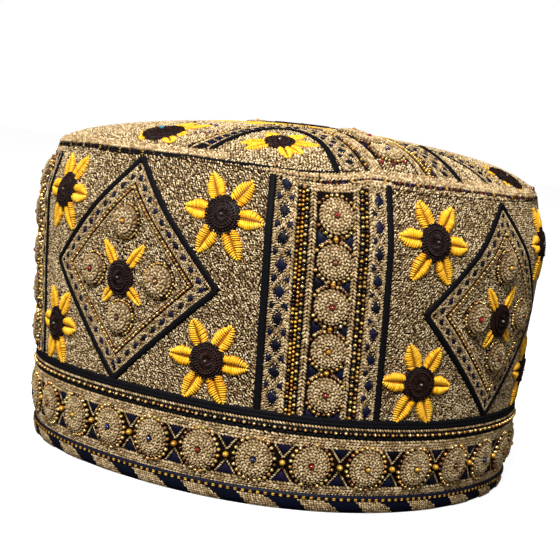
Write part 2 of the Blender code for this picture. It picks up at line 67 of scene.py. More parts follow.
# Layout of the wall
HEM_MEDALLIONS, HEM_PHASE = 30, 1.2
HEM_ROW, HEM_TOP = 16.2, 31.3
BAND_COLUMN, BAND_LEAN, LEAN_HEIGHT = 1.3, -0.026, 70.0
DIAMOND_HEIGHT, DIAMOND_WIDE, DIAMOND_TALL, DIAMOND_TOP = 69.4, 40.3, 38.2, 40.8
FLOWER_ACROSS, FLOWER_UP, FLOWER_HEIGHT = 22.8, 24.1, 70.0

# Camera, from the photograph's perspective
CAMERA_DISTANCE, CAMERA_HEIGHT, CAMERA_TURN = 582.8, 125.4, 8.0
CAMERA_PITCH, CAMERA_YAW, CAMERA_ROLL = 5.764, -0.195, 6.291
FOCAL_PIXELS, FRAME_PIXELS, SENSOR = 1499.0, 560, 36.0


# Surface of the cap
def plan_factor(angle):
    """Radius of the cap's outline in plan as a share of a circle's."""
    oval = OVAL * np.cos(2 * (angle - math.radians(OVAL_AXIS)))
    return 1 + oval + SQUARENESS * np.cos(4 * angle)


def polar_table():
    """Polar angles against even distance round the outline, both over two turns."""
    angle = np.linspace(-2 * math.pi, 2 * math.pi, 2881)
    factor = plan_factor(angle)
    speed = np.hypot(factor, np.gradient(factor, angle))
    length = np.concatenate([[0.0], np.cumsum((speed[1:] + speed[:-1]) / 2 * np.diff(angle))])
    length -= np.interp(0.0, angle, length)
    turn = np.interp(2 * math.pi, angle, length)
    return length / turn * 360.0, angle


ROUND_DEGREES, ROUND_ANGLE = polar_table()


def to_angle(degrees):
    """Polar angle of a place given in even degrees round the cap."""
    degrees = (np.asarray(degrees, float) + 180.0) % 360.0 - 180.0
    return np.interp(degrees, ROUND_DEGREES, ROUND_ANGLE)


def profile_radius(height):
    """Outer radius of the wall: a smooth curve through WALL_PROFILE with no overshoot."""
    knots = np.array([point[0] for point in WALL_PROFILE])
    radii = np.array([point[1] for point in WALL_PROFILE])
    step = np.diff(knots)
    slope = np.diff(radii) / step
    tangent = np.empty(len(knots))
    tangent[0], tangent[-1] = slope[0], slope[-1]
    for i in range(1, len(knots) - 1):
        before, after = slope[i - 1], slope[i]
        tangent[i] = 2 * before * after / (before + after) if before * after > 0 else 0.0
    height = np.clip(height, knots[0], knots[-1])
    i = np.clip(np.searchsorted(knots, height, side="right") - 1, 0, len(step) - 1)
    t = (height - knots[i]) / step[i]
    start = (1 + 2 * t) * (1 - t) ** 2 * radii[i] + t * (1 - t) ** 2 * step[i] * tangent[i]
    end = t * t * (3 - 2 * t) * radii[i + 1] + t * t * (t - 1) * step[i] * tangent[i + 1]
    return start + end


def drop_below_seam(height):
    """Share of the way from the seam down to the rim's foot."""
    return 1 - np.clip(height, 0, SEAM_HEIGHT) / SEAM_HEIGHT


def side_factor(height):
    """Factor that draws the cap's sides in below the seam."""
    drop = drop_below_seam(height)
    return 1 - NARROWING[0] * drop + NARROWING[1] * drop ** 2


def spread(degrees, height):
    """Degrees moved away from the front and the back where the sides draw in."""
    angle = np.radians(degrees)
    turned = (1 - side_factor(height)) * np.sin(2 * angle) * (0.5 + np.sin(angle) ** 2)
    return degrees + np.degrees(turned * np.minimum(SPREAD[0] + SPREAD[1] * drop_below_seam(height), 1))


def wall_surface(degrees, height):
    """Points of the wall's outer face."""
    angle = to_angle(degrees)
    radius = profile_radius(height) * plan_factor(angle)
    lift = 1 - SEAM_WAVE * np.sin(2 * angle)
    across = radius * np.sin(angle) * side_factor(height)
    return np.stack([across, -radius * np.cos(angle), height * lift], -1)


def dome(share, angle):
    """Height of the crown as a share of its rise: rounder at the sides than at front and back."""
    side = np.sqrt(np.clip(1 - share ** SIDE_SLOPE, 0, 1))
    front = 1 - share ** FRONT_SLOPE
    blend = np.cos(angle) ** 2
    return blend * front + (1 - blend) * side


def crown_surface(x, y):
    """Points of the crown's outer face over places in plan."""
    angle = np.arctan2(x, -y)
    share = np.minimum(np.hypot(x, y) / (SEAM_RADIUS * plan_factor(angle)), 1.0)
    base = SEAM_HEIGHT * (1 - SEAM_WAVE * np.sin(2 * angle) * share ** 2)
    lean = CROWN_LEAN * np.sin(angle) * share ** LEAN_SHAPE[0] * (1 - share ** LEAN_SHAPE[1])
    return np.stack([x, y, base + GAP + CROWN_RISE * dome(share, angle) + lean], -1)


def lifted(surface, u, v, rise):
    """Points of a surface moved out along its normal."""
    u, v = np.broadcast_arrays(np.asarray(u, float), np.asarray(v, float))
    small = 0.05
    along = surface(u + small, v) - surface(u - small, v)
    up = surface(u, v + small) - surface(u, v - small)
    normal = np.cross(along, up)
    normal /= np.linalg.norm(normal, axis=-1, keepdims=True)
    return surface(u, v) + normal * np.asarray(rise, float)[..., None]


def on_crown(x, y, rise):
    """Layout on the crown: x and y are places in plan."""
    return lifted(crown_surface, x, y, rise)


# Shares of the crown's radius, dense near the seam
SHARES = 1 - np.linspace(0, 1, 500) ** 2


def climb_table(angle):
    """Way travelled up the crown's slope from the seam to each of SHARES."""
    radius = SHARES * SEAM_RADIUS * plan_factor(angle)
    line = crown_surface(radius * math.sin(angle), -radius * math.cos(angle))
    return np.concatenate([[0.0], np.cumsum(np.linalg.norm(np.diff(line, axis=0), axis=1))])


# Crown's share of radius against polar angle and climb
EDGE_ANGLES = np.linspace(-math.pi, math.pi, 361)
EDGE_CLIMBS = np.linspace(0, 60, 121)
EDGE_SHARES = np.array([np.interp(EDGE_CLIMBS, climb_table(a), SHARES) for a in EDGE_ANGLES])


def crown_share(angle, climb):
    """Share of the crown's radius at a distance up its slope from the seam."""
    angle, climb = np.broadcast_arrays(angle, np.clip(climb, 0, EDGE_CLIMBS[-1] - 0.01))
    a = (angle + math.pi) % (2 * math.pi) / (2 * math.pi) * (len(EDGE_ANGLES) - 1)
    c = climb / EDGE_CLIMBS[-1] * (len(EDGE_CLIMBS) - 1)
    i = np.clip(a.astype(int), 0, len(EDGE_ANGLES) - 2)
    j = np.clip(c.astype(int), 0, len(EDGE_CLIMBS) - 2)
    s, t = a - i, c - j
    low = EDGE_SHARES[i, j] * (1 - s) + EDGE_SHARES[i + 1, j] * s
    high = EDGE_SHARES[i, j + 1] * (1 - s) + EDGE_SHARES[i + 1, j + 1] * s
    return low * (1 - t) + high * t


def skin(degrees, height, rise):
    """Point over the wall, or over the crown's slope where the height passes the seam."""
    degrees, height, rise = np.broadcast_arrays(*(np.asarray(v, float) for v in (degrees, height, rise)))
    points = lifted(wall_surface, degrees, np.minimum(height, SEAM_HEIGHT), rise)
    over = height > SEAM_HEIGHT
    if np.any(over):
        angle = to_angle(degrees[over])
        radius = crown_share(angle, height[over] - SEAM_HEIGHT) * SEAM_RADIUS * plan_factor(angle)
        points[over] = on_crown(radius * np.sin(angle), -radius * np.cos(angle), rise[over])
    return points


def on_wall(centre, middle=0.0, lean=0.0, even=False):
    """Layout on the wall: x is millimetres round from a centre, y is the height over middle."""
    def place(x, y, rise):
        height = middle + np.asarray(y, float)
        degrees = centre + np.asarray(x, float) / MM_PER_DEGREE + lean * (height - LEAN_HEIGHT)
        return skin(degrees if even else spread(degrees, height), height, rise)
    return place


# Lowest climb that the crown's flowers reach
LEAST_CLIMB = 4.6


def crown_axes(angle):
    """Plan directions at a polar angle: outward, and round the cap."""
    return np.array([math.sin(angle), -math.cos(angle)]), np.array([math.cos(angle), math.sin(angle)])


def on_slope(x0, y0):
    """Layout on the crown round one place: x runs round it and y runs up its slope."""
    angle = math.atan2(x0, -y0)
    outward, side = crown_axes(angle)
    full = SEAM_RADIUS * float(plan_factor(angle))
    travelled = climb_table(angle)
    start = np.interp(-math.hypot(x0, y0) / full, -SHARES, travelled)

    def place(x, y, rise):
        x, y = np.broadcast_arrays(np.asarray(x, float), np.asarray(y, float))
        climb = np.maximum(start + y, LEAST_CLIMB)
        radius = np.interp(climb, travelled, SHARES) * full
        plan = x[..., None] * side + radius[..., None] * outward
        return on_crown(plan[..., 0], plan[..., 1], rise)
    return place


# Mesh pieces
def ball_template(sides=7, levels=(-35, 12, 52), radius=0.5):
    """Bead without its underside, which lies in the cloth."""
    verts = []
    for level in levels:
        tilt = math.radians(level)
        for k in range(sides):
            turn = 2 * math.pi * (k + level / 90) / sides
            verts.append((radius * math.cos(tilt) * math.cos(turn),
                          radius * math.cos(tilt) * math.sin(turn), radius * math.sin(tilt)))
    verts.append((0.0, 0.0, radius))
    faces = []
    for i in range(sides):
        j = (i + 1) % sides
        for low in (0, sides):
            faces += [(low + i, low + j, low + sides + j), (low + i, low + sides + j, low + sides + i)]
        faces.append((2 * sides + i, 2 * sides + j, 3 * sides))
    verts = np.array(verts)
    # The last values give painted shade: darker towards the bead's foot.
    return verts, np.array(faces), np.clip(verts[:, 2] + 0.6, 0, 1)


def stitch_template(rings, turns):
    """A thread's hump: long along x, round on top, open below and pointed at both ends."""
    turns = np.radians(turns)
    verts, crest = [(-0.5, 0.0, -0.15)], [0.2]
    for along, size in rings:
        for turn in turns:
            verts.append((along, 0.5 * size * math.cos(turn), 0.5 * size * math.sin(turn)))
            # Painted shade: lower values towards the thread's sides and foot darken its colour.
            crest.append(max(0.05, min(1.0, 1.3 * math.sin(turn))) * (0.55 + 0.45 * size))
    verts.append((0.5, 0.0, -0.15))
    crest.append(0.2)
    faces, count, last = [], len(turns), len(verts) - 1
    for i in range(count - 1):
        faces.append((0, 2 + i, 1 + i))
        for ring in range(len(rings) - 1):
            a = 1 + ring * count + i
            b = a + count
            faces += [(a, a + 1, b + 1), (a, b + 1, b)]
        faces.append((last, last - count + i, last - count + i + 1))
    return np.array(verts), np.array(faces), np.array(crest)


BALL = ball_template()
SHORT = stitch_template(((-0.25, 0.95), (0.25, 0.95)), (-12, 90, 192))
LONG = stitch_template(((-0.34, 0.72), (0.0, 1.0), (0.34, 0.72)), (-12, 52, 128, 192))
# Knot: a low pyramid; its last values give painted shade, darker at its foot than at its top.
KNOT = (np.array(((-0.5, 0, -0.1), (0, -0.5, -0.1), (0.5, 0, -0.1), (0, 0.5, -0.1), (0, 0, 0.5))),
        np.array(((0, 1, 4), (1, 2, 4), (2, 3, 4), (3, 0, 4))),
        np.array((0.2, 0.2, 0.2, 0.2, 1.0)))


class Piece:
    """One object in the making: points in millimetres, triangles, materials and tints."""

    def __init__(self, name, slot):
        self.name, self.slot = name, slot
        self.verts, self.faces, self.slots = [], [], []
        # Each point carries its tint, a painted shade value (1 on top, lower at a stitch's foot), and layout
        # u and v.
        self.values = {"tint": [], "crest": [], "u": [], "v": []}
        self.materials = []
        self.count = 0

    def add(self, verts, faces, material, tint=0.5, crest=1.0, u=0.0, v=0.0):
        if material not in self.materials:
            self.materials.append(material)
        self.verts.append(verts)
        self.faces.append(np.asarray(faces) + self.count)
        self.slots.append(np.full(len(faces), self.materials.index(material)))
        for name, value in (("tint", tint), ("crest", crest), ("u", u), ("v", v)):
            self.values[name].append(np.broadcast_to(value, len(verts)))
        self.count += len(verts)

    def copies(self, template, middle, x, y, z, material, tint):
        """Copies of a template, each with its own middle and its three scaled axes."""
        shape, faces, crest = template
        verts = middle[:, None, :] + (shape[None, :, 0:1] * x[:, None, :]
                                      + shape[None, :, 1:2] * y[:, None, :]
                                      + shape[None, :, 2:3] * z[:, None, :])
        many = len(middle)
        index = faces[None] + (np.arange(many) * len(shape))[:, None, None]
        tint = np.repeat(np.broadcast_to(tint, many), len(shape))
        self.add(verts.reshape(-1, 3), index.reshape(-1, 3), material, tint, np.tile(crest, many))

    def build(self, *nodes):
        verts = np.concatenate(self.verts) * MM
        faces = np.concatenate(self.faces)
        mesh = bpy.data.meshes.new(self.name)
        mesh.vertices.add(len(verts))
        mesh.vertices.foreach_set("co", verts.ravel())
        mesh.loops.add(faces.size)
        mesh.loops.foreach_set("vertex_index", faces.ravel())
        mesh.polygons.add(len(faces))
        mesh.polygons.foreach_set("loop_start", np.arange(0, faces.size, 3))
        mesh.polygons.foreach_set("material_index", np.concatenate(self.slots))
        for name, values in self.values.items():
            layer = mesh.attributes.new(name, "FLOAT", "POINT")
            layer.data.foreach_set("value", np.concatenate(values).astype(float))
        mesh.update(calc_edges=True)
        mesh.validate()
        mesh.shade_smooth()
        for name in self.materials:
            mesh.materials.append(MATERIALS[name])
        item = bpy.data.objects.new(self.name, mesh)
        bpy.context.scene.collection.objects.link(item)
        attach(item, "root")
        if nodes:
            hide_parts(*nodes)
        return item


def stitches(piece, place, start, end, width, thick, rise, material, tint=None, template=SHORT):
    """Threads from start to end points of a layout."""
    start, end = np.asarray(start, float), np.asarray(end, float)
    rise = np.broadcast_to(rise, len(start))
    first = place(start[:, 0], start[:, 1], rise)
    last = place(end[:, 0], end[:, 1], rise)
    middle = (start + end) / 2
    foot = place(middle[:, 0], middle[:, 1], rise)
    out = place(middle[:, 0], middle[:, 1], rise + 1.0) - foot
    along = last - first
    side = np.cross(out, along)
    side /= np.linalg.norm(side, axis=1, keepdims=True) + 1e-9
    width = np.broadcast_to(width, len(start))[:, None]
    thick = np.broadcast_to(thick, len(start))[:, None]
    tint = rng.random(len(start)) if tint is None else tint
    piece.copies(template, foot, along, side * width, out * 2 * thick, material, tint)


def balls(piece, place, spots, size, rise, material, squash=1.0):
    """Beads at points of a layout; rise is the height of their middles."""
    spots = np.asarray(spots, float).reshape(-1, 2)
    if not len(spots):
        return
    rise = np.broadcast_to(rise, len(spots))
    size = np.broadcast_to(size, len(spots))[:, None]
    foot = place(spots[:, 0], spots[:, 1], rise)
    out = place(spots[:, 0], spots[:, 1], rise + 1.0) - foot
    level = place(spots[:, 0] + 0.5, spots[:, 1], rise) - foot
    level /= np.linalg.norm(level, axis=1, keepdims=True)
    side = np.cross(out, level)
    tint = rng.random(len(spots))
    piece.copies(BALL, foot, level * size, side * size, out * size * squash, material, tint)


def walk(path, step, closed=False):
    """Even steps along a line of points: places, directions and the exact step."""
    path = np.asarray(path, float)
    if closed:
        path = np.concatenate([path, path[:1]])
    lengths = np.linalg.norm(np.diff(path, axis=0), axis=1)
    travelled = np.concatenate([[0.0], np.cumsum(lengths)])
    count = max(2, round(travelled[-1] / step))
    at = (np.arange(count) + 0.5) / count * travelled[-1]
    spots = np.stack([np.interp(at, travelled, path[:, k]) for k in (0, 1)], -1)
    leg = np.clip(np.searchsorted(travelled, at, side="right") - 1, 0, len(lengths) - 1)
    way = (np.diff(path, axis=0) / lengths[:, None])[leg]
    return spots, way, travelled[-1] / count


def across(way):
    """Directions a quarter turn to the left of others."""
    return np.stack([-way[:, 1], way[:, 0]], -1)


def beside(path, offset):
    """A line of points moved sideways."""
    path = np.asarray(path, float)
    way = np.gradient(path, axis=0)
    way /= np.linalg.norm(way, axis=1, keepdims=True)
    return path + across(way) * offset


def plait(piece, place, path, width, step=1.15, rise=0.35, closed=False, flip=1):
    """Plait of two rows of slanted stitches."""
    spots, way, step = walk(path, step, closed)
    side = across(way)
    for sign in (1, -1):
        jitter = rng.normal(0, 0.08, (len(spots), 2))
        start = spots + side * sign * width * 0.50 - way * step * 0.55 * flip + jitter
        end = spots + way * step * 0.65 * flip + jitter
        wide = step * rng.uniform(0.70, 0.95, len(spots))
        stitches(piece, place, start, end, wide, wide * 0.5, rise, "tan")


def rope(piece, place, path, width, step=0.9, rise=0.35, flip=1):
    """Single row of slanted stitches."""
    spots, way, step = walk(path, step)
    side = across(way)
    jitter = rng.normal(0, 0.04, (len(spots), 2))
    start = spots + side * width * 0.45 * flip - way * step * 0.5 + jitter
    end = spots - side * width * 0.45 * flip + way * step * 0.5 + jitter
    stitches(piece, place, start, end, step * 0.78, width * 0.32, rise, "tan")


def grid_faces(n, m, closed=False):
    """Triangles between n rows of m points; closed joins the last row and column to the first."""
    rows, columns = (n, m) if closed else (n - 1, m - 1)
    i, k = np.repeat(np.arange(rows), columns), np.tile(np.arange(columns), rows)
    after, above = (i + 1) % n, (k + 1) % m
    a, b, c, d = i * m + k, after * m + k, after * m + above, i * m + above
    return np.concatenate([np.stack([a, b, c], -1), np.stack([a, c, d], -1)])


# Cross-section of a satin line: shares of its half width and of its height
RIBBON_SHARES = np.array([-1.0, -0.9, -0.45, 0.45, 0.9, 1.0])
RIBBON_HUMPS = np.array([0.0, 0.7, 1.0, 1.0, 0.7, 0.0])
RIBBON_STEP, RIBBON_RISE = 1.2, 0.1


def ribbon(piece, place, path, width, height, material):
    """Rounded satin line."""
    spots, way, step = walk(path, RIBBON_STEP)
    side = across(way)
    spots = np.concatenate([spots[:1] - way[:1] * step / 2, spots, spots[-1:] + way[-1:] * step / 2])
    side = np.concatenate([side[:1], side, side[-1:]])
    n, m = len(spots), len(RIBBON_SHARES)
    layout = spots[:, None, :] + side[:, None, :] * (RIBBON_SHARES * width / 2)[None, :, None]
    rises = RIBBON_RISE + height * np.broadcast_to(RIBBON_HUMPS, (n, m))
    verts = place(layout[..., 0].ravel(), layout[..., 1].ravel(), rises.ravel())
    # Painted shade: darker towards the line's edges.
    piece.add(verts, grid_faces(n, m), material, crest=np.tile(0.3 + 0.7 * RIBBON_HUMPS, n))


def grid_points(xs, ys):
    """All pairs of two rows of values, as two long rows."""
    return (grid.ravel() for grid in np.meshgrid(xs, ys, indexing="ij"))


def slab(piece, place, xs, ys, rise, material):
    """Sheet over a grid of layout points."""
    grid_x, grid_y = grid_points(xs, ys)
    verts = place(grid_x, grid_y, np.full(grid_x.size, rise))
    piece.add(verts, grid_faces(len(xs), len(ys)), material, u=grid_x, v=grid_y)


def fan(piece, place, outline, middle, rises, material):
    """Domed patch: an outline shrunk in rings towards its middle, at the given rises."""
    outline, middle = np.asarray(outline, float), np.asarray(middle, float)
    if np.cross(outline[1] - outline[0], middle - outline[0]) < 0:
        outline = outline[::-1]
    rings, n = len(rises) - 1, len(outline)
    rows = [middle + (outline - middle) * (1 - k / rings) for k in range(rings)]
    layout = np.concatenate(rows + [middle[None]])
    height = np.concatenate([np.repeat(rises[:-1], n), rises[-1:]])
    verts = place(layout[:, 0], layout[:, 1], height)
    faces = []
    for ring in range(rings - 1):
        for i in range(n):
            j = (i + 1) % n
            a, b = ring * n, (ring + 1) * n
            faces += [(a + i, a + j, b + j), (a + i, b + j, b + i)]
    a = (rings - 1) * n
    faces += [(a + i, a + (i + 1) % n, rings * n) for i in range(n)]
    piece.add(verts, faces, material, rng.random(), u=layout[:, 0], v=layout[:, 1])


def polar(x, y, radius, turn):
    """Points at a distance and at turns in radians round a middle."""
    return np.stack([x + radius * np.cos(turn), y + radius * np.sin(turn)], -1)


def circle(x, y, radius, count):
    """Closed round outline."""
    return polar(x, y, radius, 2 * math.pi * np.arange(count) / count)


# Embroidery.  Coils of a medallion: their width, the way between stitches, the hole, and a stitch's width
# and height; then the eye, dark with painted shade, with its bead, and the share of gold among the small
# beads
COIL_WIDTH, COIL_STEP, COIL_HOLE, COIL_STITCH = 0.93, 1.18, 1.25, (0.92, 0.46)
EYE_RADIUS, EYE_BEAD, GOLD_SHARE = 1.6, 1.9, 0.62


def medallion(piece, place, x, y, radius, base, height, bead, halo, halo_size=1.4):
    """Domed round of coiled plaits with a bead in the middle and small beads round it.

    halo holds spans of degrees, in which beads lie side by side just outside the plaits."""
    def level(r):
        outer = np.clip(r / radius - 0.5, 0, 0.5) / 0.52
        inner = np.clip(0.5 - r / radius, 0, 0.5) / 0.5
        return base + height * np.sqrt(1 - outer ** 2) * (1 - 0.3 * inner ** 2)

    rises = np.array([level(radius * share) - 0.1 for share in (1, 0.75, 0.5, 0.25, 0)])
    fan(piece, place, circle(x, y, radius * 0.98, 20), (x, y), rises, "core")
    rises = np.array([1.0, 1.1]) * height * 0.75 + base
    # The eye: a sheet of painted shade for the hole round the bead.
    fan(piece, place, circle(x, y, EYE_RADIUS, 10), (x, y), rises, "shade")
    rows = round((radius - COIL_HOLE) / COIL_WIDTH)
    width = (radius - COIL_HOLE) / rows
    for row in range(rows):
        r = radius - width * (row + 0.5)
        pair_radius = radius - width * (row // 2 * 2 + 1)
        count = max(7, round(2 * math.pi * pair_radius / COIL_STEP))
        step = 2 * math.pi / count
        turn = step * np.arange(count) + rng.normal(0, 0.12 / r, count)
        slant = 0.52 * width * (1 if row % 2 else -1)
        start = polar(x, y, r + slant, turn - step * 0.52)
        end = polar(x, y, r - slant, turn + step * 0.52)
        # Painted shade on the dome: coils lighter at its top, darker towards the rim and the eye.
        tint = np.clip(rng.normal(0.78 - 0.42 * abs(r / radius - 0.55) / 0.45, 0.2, count), 0, 1)
        stitches(piece, place, start, end, *COIL_STITCH, level(r), "tan", tint)
    balls(piece, place, [(x, y)], EYE_BEAD, base + height * 0.75 + 0.6, bead, squash=0.9)
    for first, last in halo:
        distance = radius + halo_size * 0.5
        count = max(2, round(math.radians(last - first) * distance / (halo_size * 1.05)))
        spots = polar(x, y, distance, np.radians(np.linspace(first, last, count)))
        spots += rng.normal(0, 0.1, spots.shape)
        gold = rng.random(count) < GOLD_SHARE
        balls(piece, place, spots[gold], halo_size, base + halo_size * 0.42, "gold")
        balls(piece, place, spots[~gold], halo_size * 0.95, base + halo_size * 0.4, "brown")


def petal_shape(t):
    """Half-width of a petal along its length, 0 at the disc and 1 at the tip."""
    swell = 0.80 + 0.20 * np.sin(math.pi * np.clip(t / 0.8, 0, 1))
    taper = np.clip(1 - np.clip((t - 0.3) / 0.73, 0, 1) ** 2.6, 0, 1) ** 0.75
    return swell * taper


PETAL_STITCH = 0.74


def petal(piece, place, x, y, degrees, root, reach, width, base=0.15, plump=1.0):
    """Leaf of two fat rows of satin stitches side by side, orange where they meet."""
    turn = math.radians(degrees)
    way = np.array([math.cos(turn), math.sin(turn)])
    side = np.array([-math.sin(turn), math.cos(turn)])
    here = np.array([x, y])
    t = np.linspace(0, 1, 9)
    along = root + (reach - root) * t
    half = petal_shape(t) * width / 2 * 0.96
    left = here + along[:, None] * way + half[:, None] * side
    right = here + along[:, None] * way - half[:, None] * side
    outline = np.concatenate([right, left[::-1][1:]])
    rises = np.array([base, base + 0.3, base + 0.35])
    fan(piece, place, outline, here + way * (root * 0.6 + reach * 0.4), rises, "orange")
    count = max(6, round((reach - root) / PETAL_STITCH))
    t = (np.arange(count) + 0.5) / count
    for sign in (1, -1):
        half = np.maximum(petal_shape(t) * width / 2, 0.6)
        foot = root + (reach - root) * t - 0.55
        tip = np.minimum(root + (reach - root) * t + 0.35, reach)
        start = here + foot[:, None] * way + (sign * (0.02 + 0.10 * (1 - t)))[:, None] * side
        end = here + tip[:, None] * way + (sign * half)[:, None] * side + rng.normal(0, 0.12, (count, 2))
        thick = np.minimum(0.35 + 0.26 * half, 1.3) * plump
        tint = np.clip(0.30 + 0.45 * t + rng.normal(0, 0.24, count), 0, 1)
        stitches(piece, place, start, end, 0.80, thick, base + 0.2, "yellow", tint, LONG)


# Coils of a seed disc: share of its radius, and slant
SEED_COILS = ((0.93, 0.5), (0.80, -0.5), (0.66, 0.55), (0.53, -0.5))


def seed_disc(piece, place, x, y, radius, base, height):
    """Domed dark disc: two coiled rims of knots round a hollow with spokes."""
    def level(r):
        s = r / radius
        return base + height * (0.75 * np.clip(1 - s ** 4, 0, 1) ** 0.5 + 0.12 * np.cos(6.0 * math.pi * s))

    rises = np.array([level(radius * share) - 0.15 for share in (1, 0.8, 0.6, 0.4, 0.2, 0)])
    fan(piece, place, circle(x, y, radius, 20), (x, y), rises, "seed")
    for share, slant in SEED_COILS:
        r = radius * share
        count = max(8, round(2 * math.pi * r / 0.95))
        step = 2 * math.pi / count
        turn = step * np.arange(count) + 0.4 * share
        lean = slant * radius * 0.12
        start = polar(x, y, r - lean, turn - step * 0.45)
        end = polar(x, y, r + lean, turn + step * 0.45)
        stitches(piece, place, start, end, 0.75, 0.45, level(r), "seed")
    count = max(10, round(radius * 3))
    turn = 2 * math.pi * np.arange(count) / count
    start, end = polar(x, y, radius * 0.14, turn), polar(x, y, radius * 0.46, turn)
    stitches(piece, place, start, end, 0.5, 0.3, level(radius * 0.3), "seed")


def flower(piece, place, x, y, disc, petals, base=0.15, rise=1.6, bead="seed_bead", bead_size=1.0,
           bead_at=(0.0, 0.0), plump=1.0):
    """Petals, given as degrees, reach and width, round a seed disc with a bead on it."""
    for degrees, reach, width in petals:
        petal(piece, place, x, y, degrees, disc * 0.9, reach, width, base, plump)
    seed_disc(piece, place, x, y, disc, base + 0.3, rise)
    balls(piece, place, [(x + bead_at[0], y + bead_at[1])], bead_size, base + 0.3 + rise, bead)


PATCH_RISE = 0.5


def patch(piece, place, outline, base=0.25):
    """Low navy satin patch."""
    outline = np.asarray(outline, float)
    rises = np.array([base, base + PATCH_RISE, base + PATCH_RISE * 1.1])
    fan(piece, place, outline, outline.mean(axis=0), rises, "navy")


def diamond_outline(middle, way, side, half_wide, half_tall):
    """Diamond with slightly bent edges: half_tall lies along way."""
    steps = ((1, 0), (0.52, 0.5), (0, 1), (-0.52, 0.5), (-1, 0), (-0.52, -0.5), (0, -1), (0.52, -0.5))
    return [middle + side * half_wide * c + way * half_tall * s for c, s in steps]


LATTICE_BASE = 0.25
# Way of a lattice's cord between two diamonds: share of the pitch, and share of the swing
LATTICE_SWING = ((-0.5, 0.0), (-0.30, 0.62), (0.0, 1.0), (0.30, 0.62))


def lattice(piece, place, first, last, pitch, size, cord=1.3, wings=(), phase=0.5, wing_size=(1.2, 2.6)):
    """Two cords that cross between dark satin diamonds, with dark triangles half a pitch off."""
    first, last = np.asarray(first, float), np.asarray(last, float)
    length = np.linalg.norm(last - first)
    way = (last - first) / length
    side = np.array([-way[1], way[0]])
    swing = size[0] / 2 + cord * 0.40
    spots = sown_rows(-swing - cord * 0.4, swing + cord * 0.5, length)
    sow(piece, place, first + spots[:, :1] * way + spots[:, 1:] * side, 40.0, LATTICE_BASE - 0.1)
    zigzags = ([], [])
    for k in range(-1, math.ceil(length / pitch) + 1):
        at = pitch * (k + phase)
        if 0 < at < length:
            outline = diamond_outline(first + way * at, way, side, size[0] / 2, size[1] / 2)
            patch(piece, place, outline, LATTICE_BASE)
        for cord_line, sign in zip(zigzags, (1, -1)):
            for share, reach in LATTICE_SWING:
                spot = at + pitch * share
                if 0 <= spot <= length:
                    swung = swing * reach * sign * (1 if k % 2 else -1)
                    cord_line.append(first + way * spot + side * swung)
        for wing in wings:
            spot = at + pitch * 0.5
            if wing_size[1] < spot < length - wing_size[1]:
                edge = first + way * spot + side * wing * (swing + cord * 0.3)
                half = way * wing_size[1] * 0.5
                tip = edge - side * wing * wing_size[0] * 1.3
                patch(piece, place, [edge + half, edge - half, tip], LATTICE_BASE + 0.2)
    for cord_line, sign in zip(zigzags, (1, -1)):
        if len(cord_line) > 1:
            rope(piece, place, cord_line, cord, rise=LATTICE_BASE + 0.25, flip=sign)


def bead_line(piece, place, path, size, step, material="gold", rise=0.6, spacer=None):
    """Beads along a line; spacer holds the material and relative size of beads between them."""
    spots, way, step = walk(path, step)
    balls(piece, place, spots + rng.normal(0, 0.05, spots.shape), size, rise, material)
    if spacer:
        balls(piece, place, spots + way * step / 2, size * spacer[1], rise * 0.8, spacer[0])


def dash_line(piece, place, path, width, step, rise, colours):
    """Pairs of short straight stitches along a line, in turn in several colours."""
    spots, way, step = walk(path, step)
    for k, colour in enumerate(colours):
        pick = np.arange(len(spots)) % len(colours) == k
        for offset in (-0.26, 0.26):
            side = across(way[pick]) * width * offset
            start = spots[pick] - way[pick] * step * 0.5 + side
            end = spots[pick] + way[pick] * step * 0.5 + side
            stitches(piece, place, start, end, width * 0.5, width * 0.3, rise, colour)


def upright(x, low, high):
    """Line straight up a layout."""
    return [(x, low), (x, (low + high) / 2), (x, high)]


def groove_turn(degrees):
    """Degrees along the groove's own half turn."""
    return (np.asarray(degrees, float) - GROOVE_START) % 180.0 + GROOVE_START


def groove_at(local):
    """Distance of the groove up the crown's slope, at degrees of its own half turn."""
    return np.interp(local, *np.array(GROOVE).T)


def groove_climb(degrees):
    """Distance of the groove up the crown's slope, all round the cap."""
    return groove_at(groove_turn(degrees))


def upper_climb(degrees):
    """The same, of the earlier half turn's end where two half turns run side by side."""
    local = groove_turn(degrees)
    return groove_at(np.where(local + 180.0 < GROOVE_END, local + 180.0, local))


def round_line(first, last, offset=0.0):
    """Line along the groove from one degree to another, moved up by an offset."""
    degrees = np.linspace(first, last, max(3, round((last - first) / 2.0)))
    return np.stack([degrees * MM_PER_DEGREE, SEAM_HEIGHT + groove_at(degrees) + offset], -1)


# Spans of small beads round a medallion
UP_DOWN = ((30, 150), (210, 330))
CORNERS = ((8, 82), (98, 172), (188, 262), (278, 352))

# Upright band: places across it, then widths, sizes, steps, colours, rises and spacers
BAND_CLOTH, BAND_EDGES = (-22.0, 18.4), (-22.2, 18.7)
BAND_ROPES = ((-20.2, 1.4), (17.0, 1.1))
BAND_PLAITS = ((-14.2, 2.2), (-7.7, 2.4), (6.8, 2.3), (12.3, 2.2))
BAND_LATTICES = ((-17.2, (4.2, 5.4), 1.3, (1, -1), 0.62, (1.5, 3.4)),
                 (14.9, (3.5, 5.0), 1.05, (1,), 0.45, (1.3, 3.2)))
BAND_LATTICE_PITCH = 8.75
BAND_BEADS = ((-9.9, 1.35, 2.75, "gold", 0.75, ("black_bead", 0.9)),
              (-11.15, 1.1, 1.4, "amber_mix", 0.6, None),
              (-12.4, 1.2, 1.45, "mixed", 0.6, None),
              (8.8, 1.4, 2.75, "gold", 0.8, ("black_bead", 0.9)),
              (10.35, 1.25, 1.5, "mixed", 0.6, None))
BAND_ROUND, BAND_TOP_ROUND, BAND_PITCH = (5.9, 0.4, 1.8), 98.7, 14.6
BAND_MIDDLE = 38.0

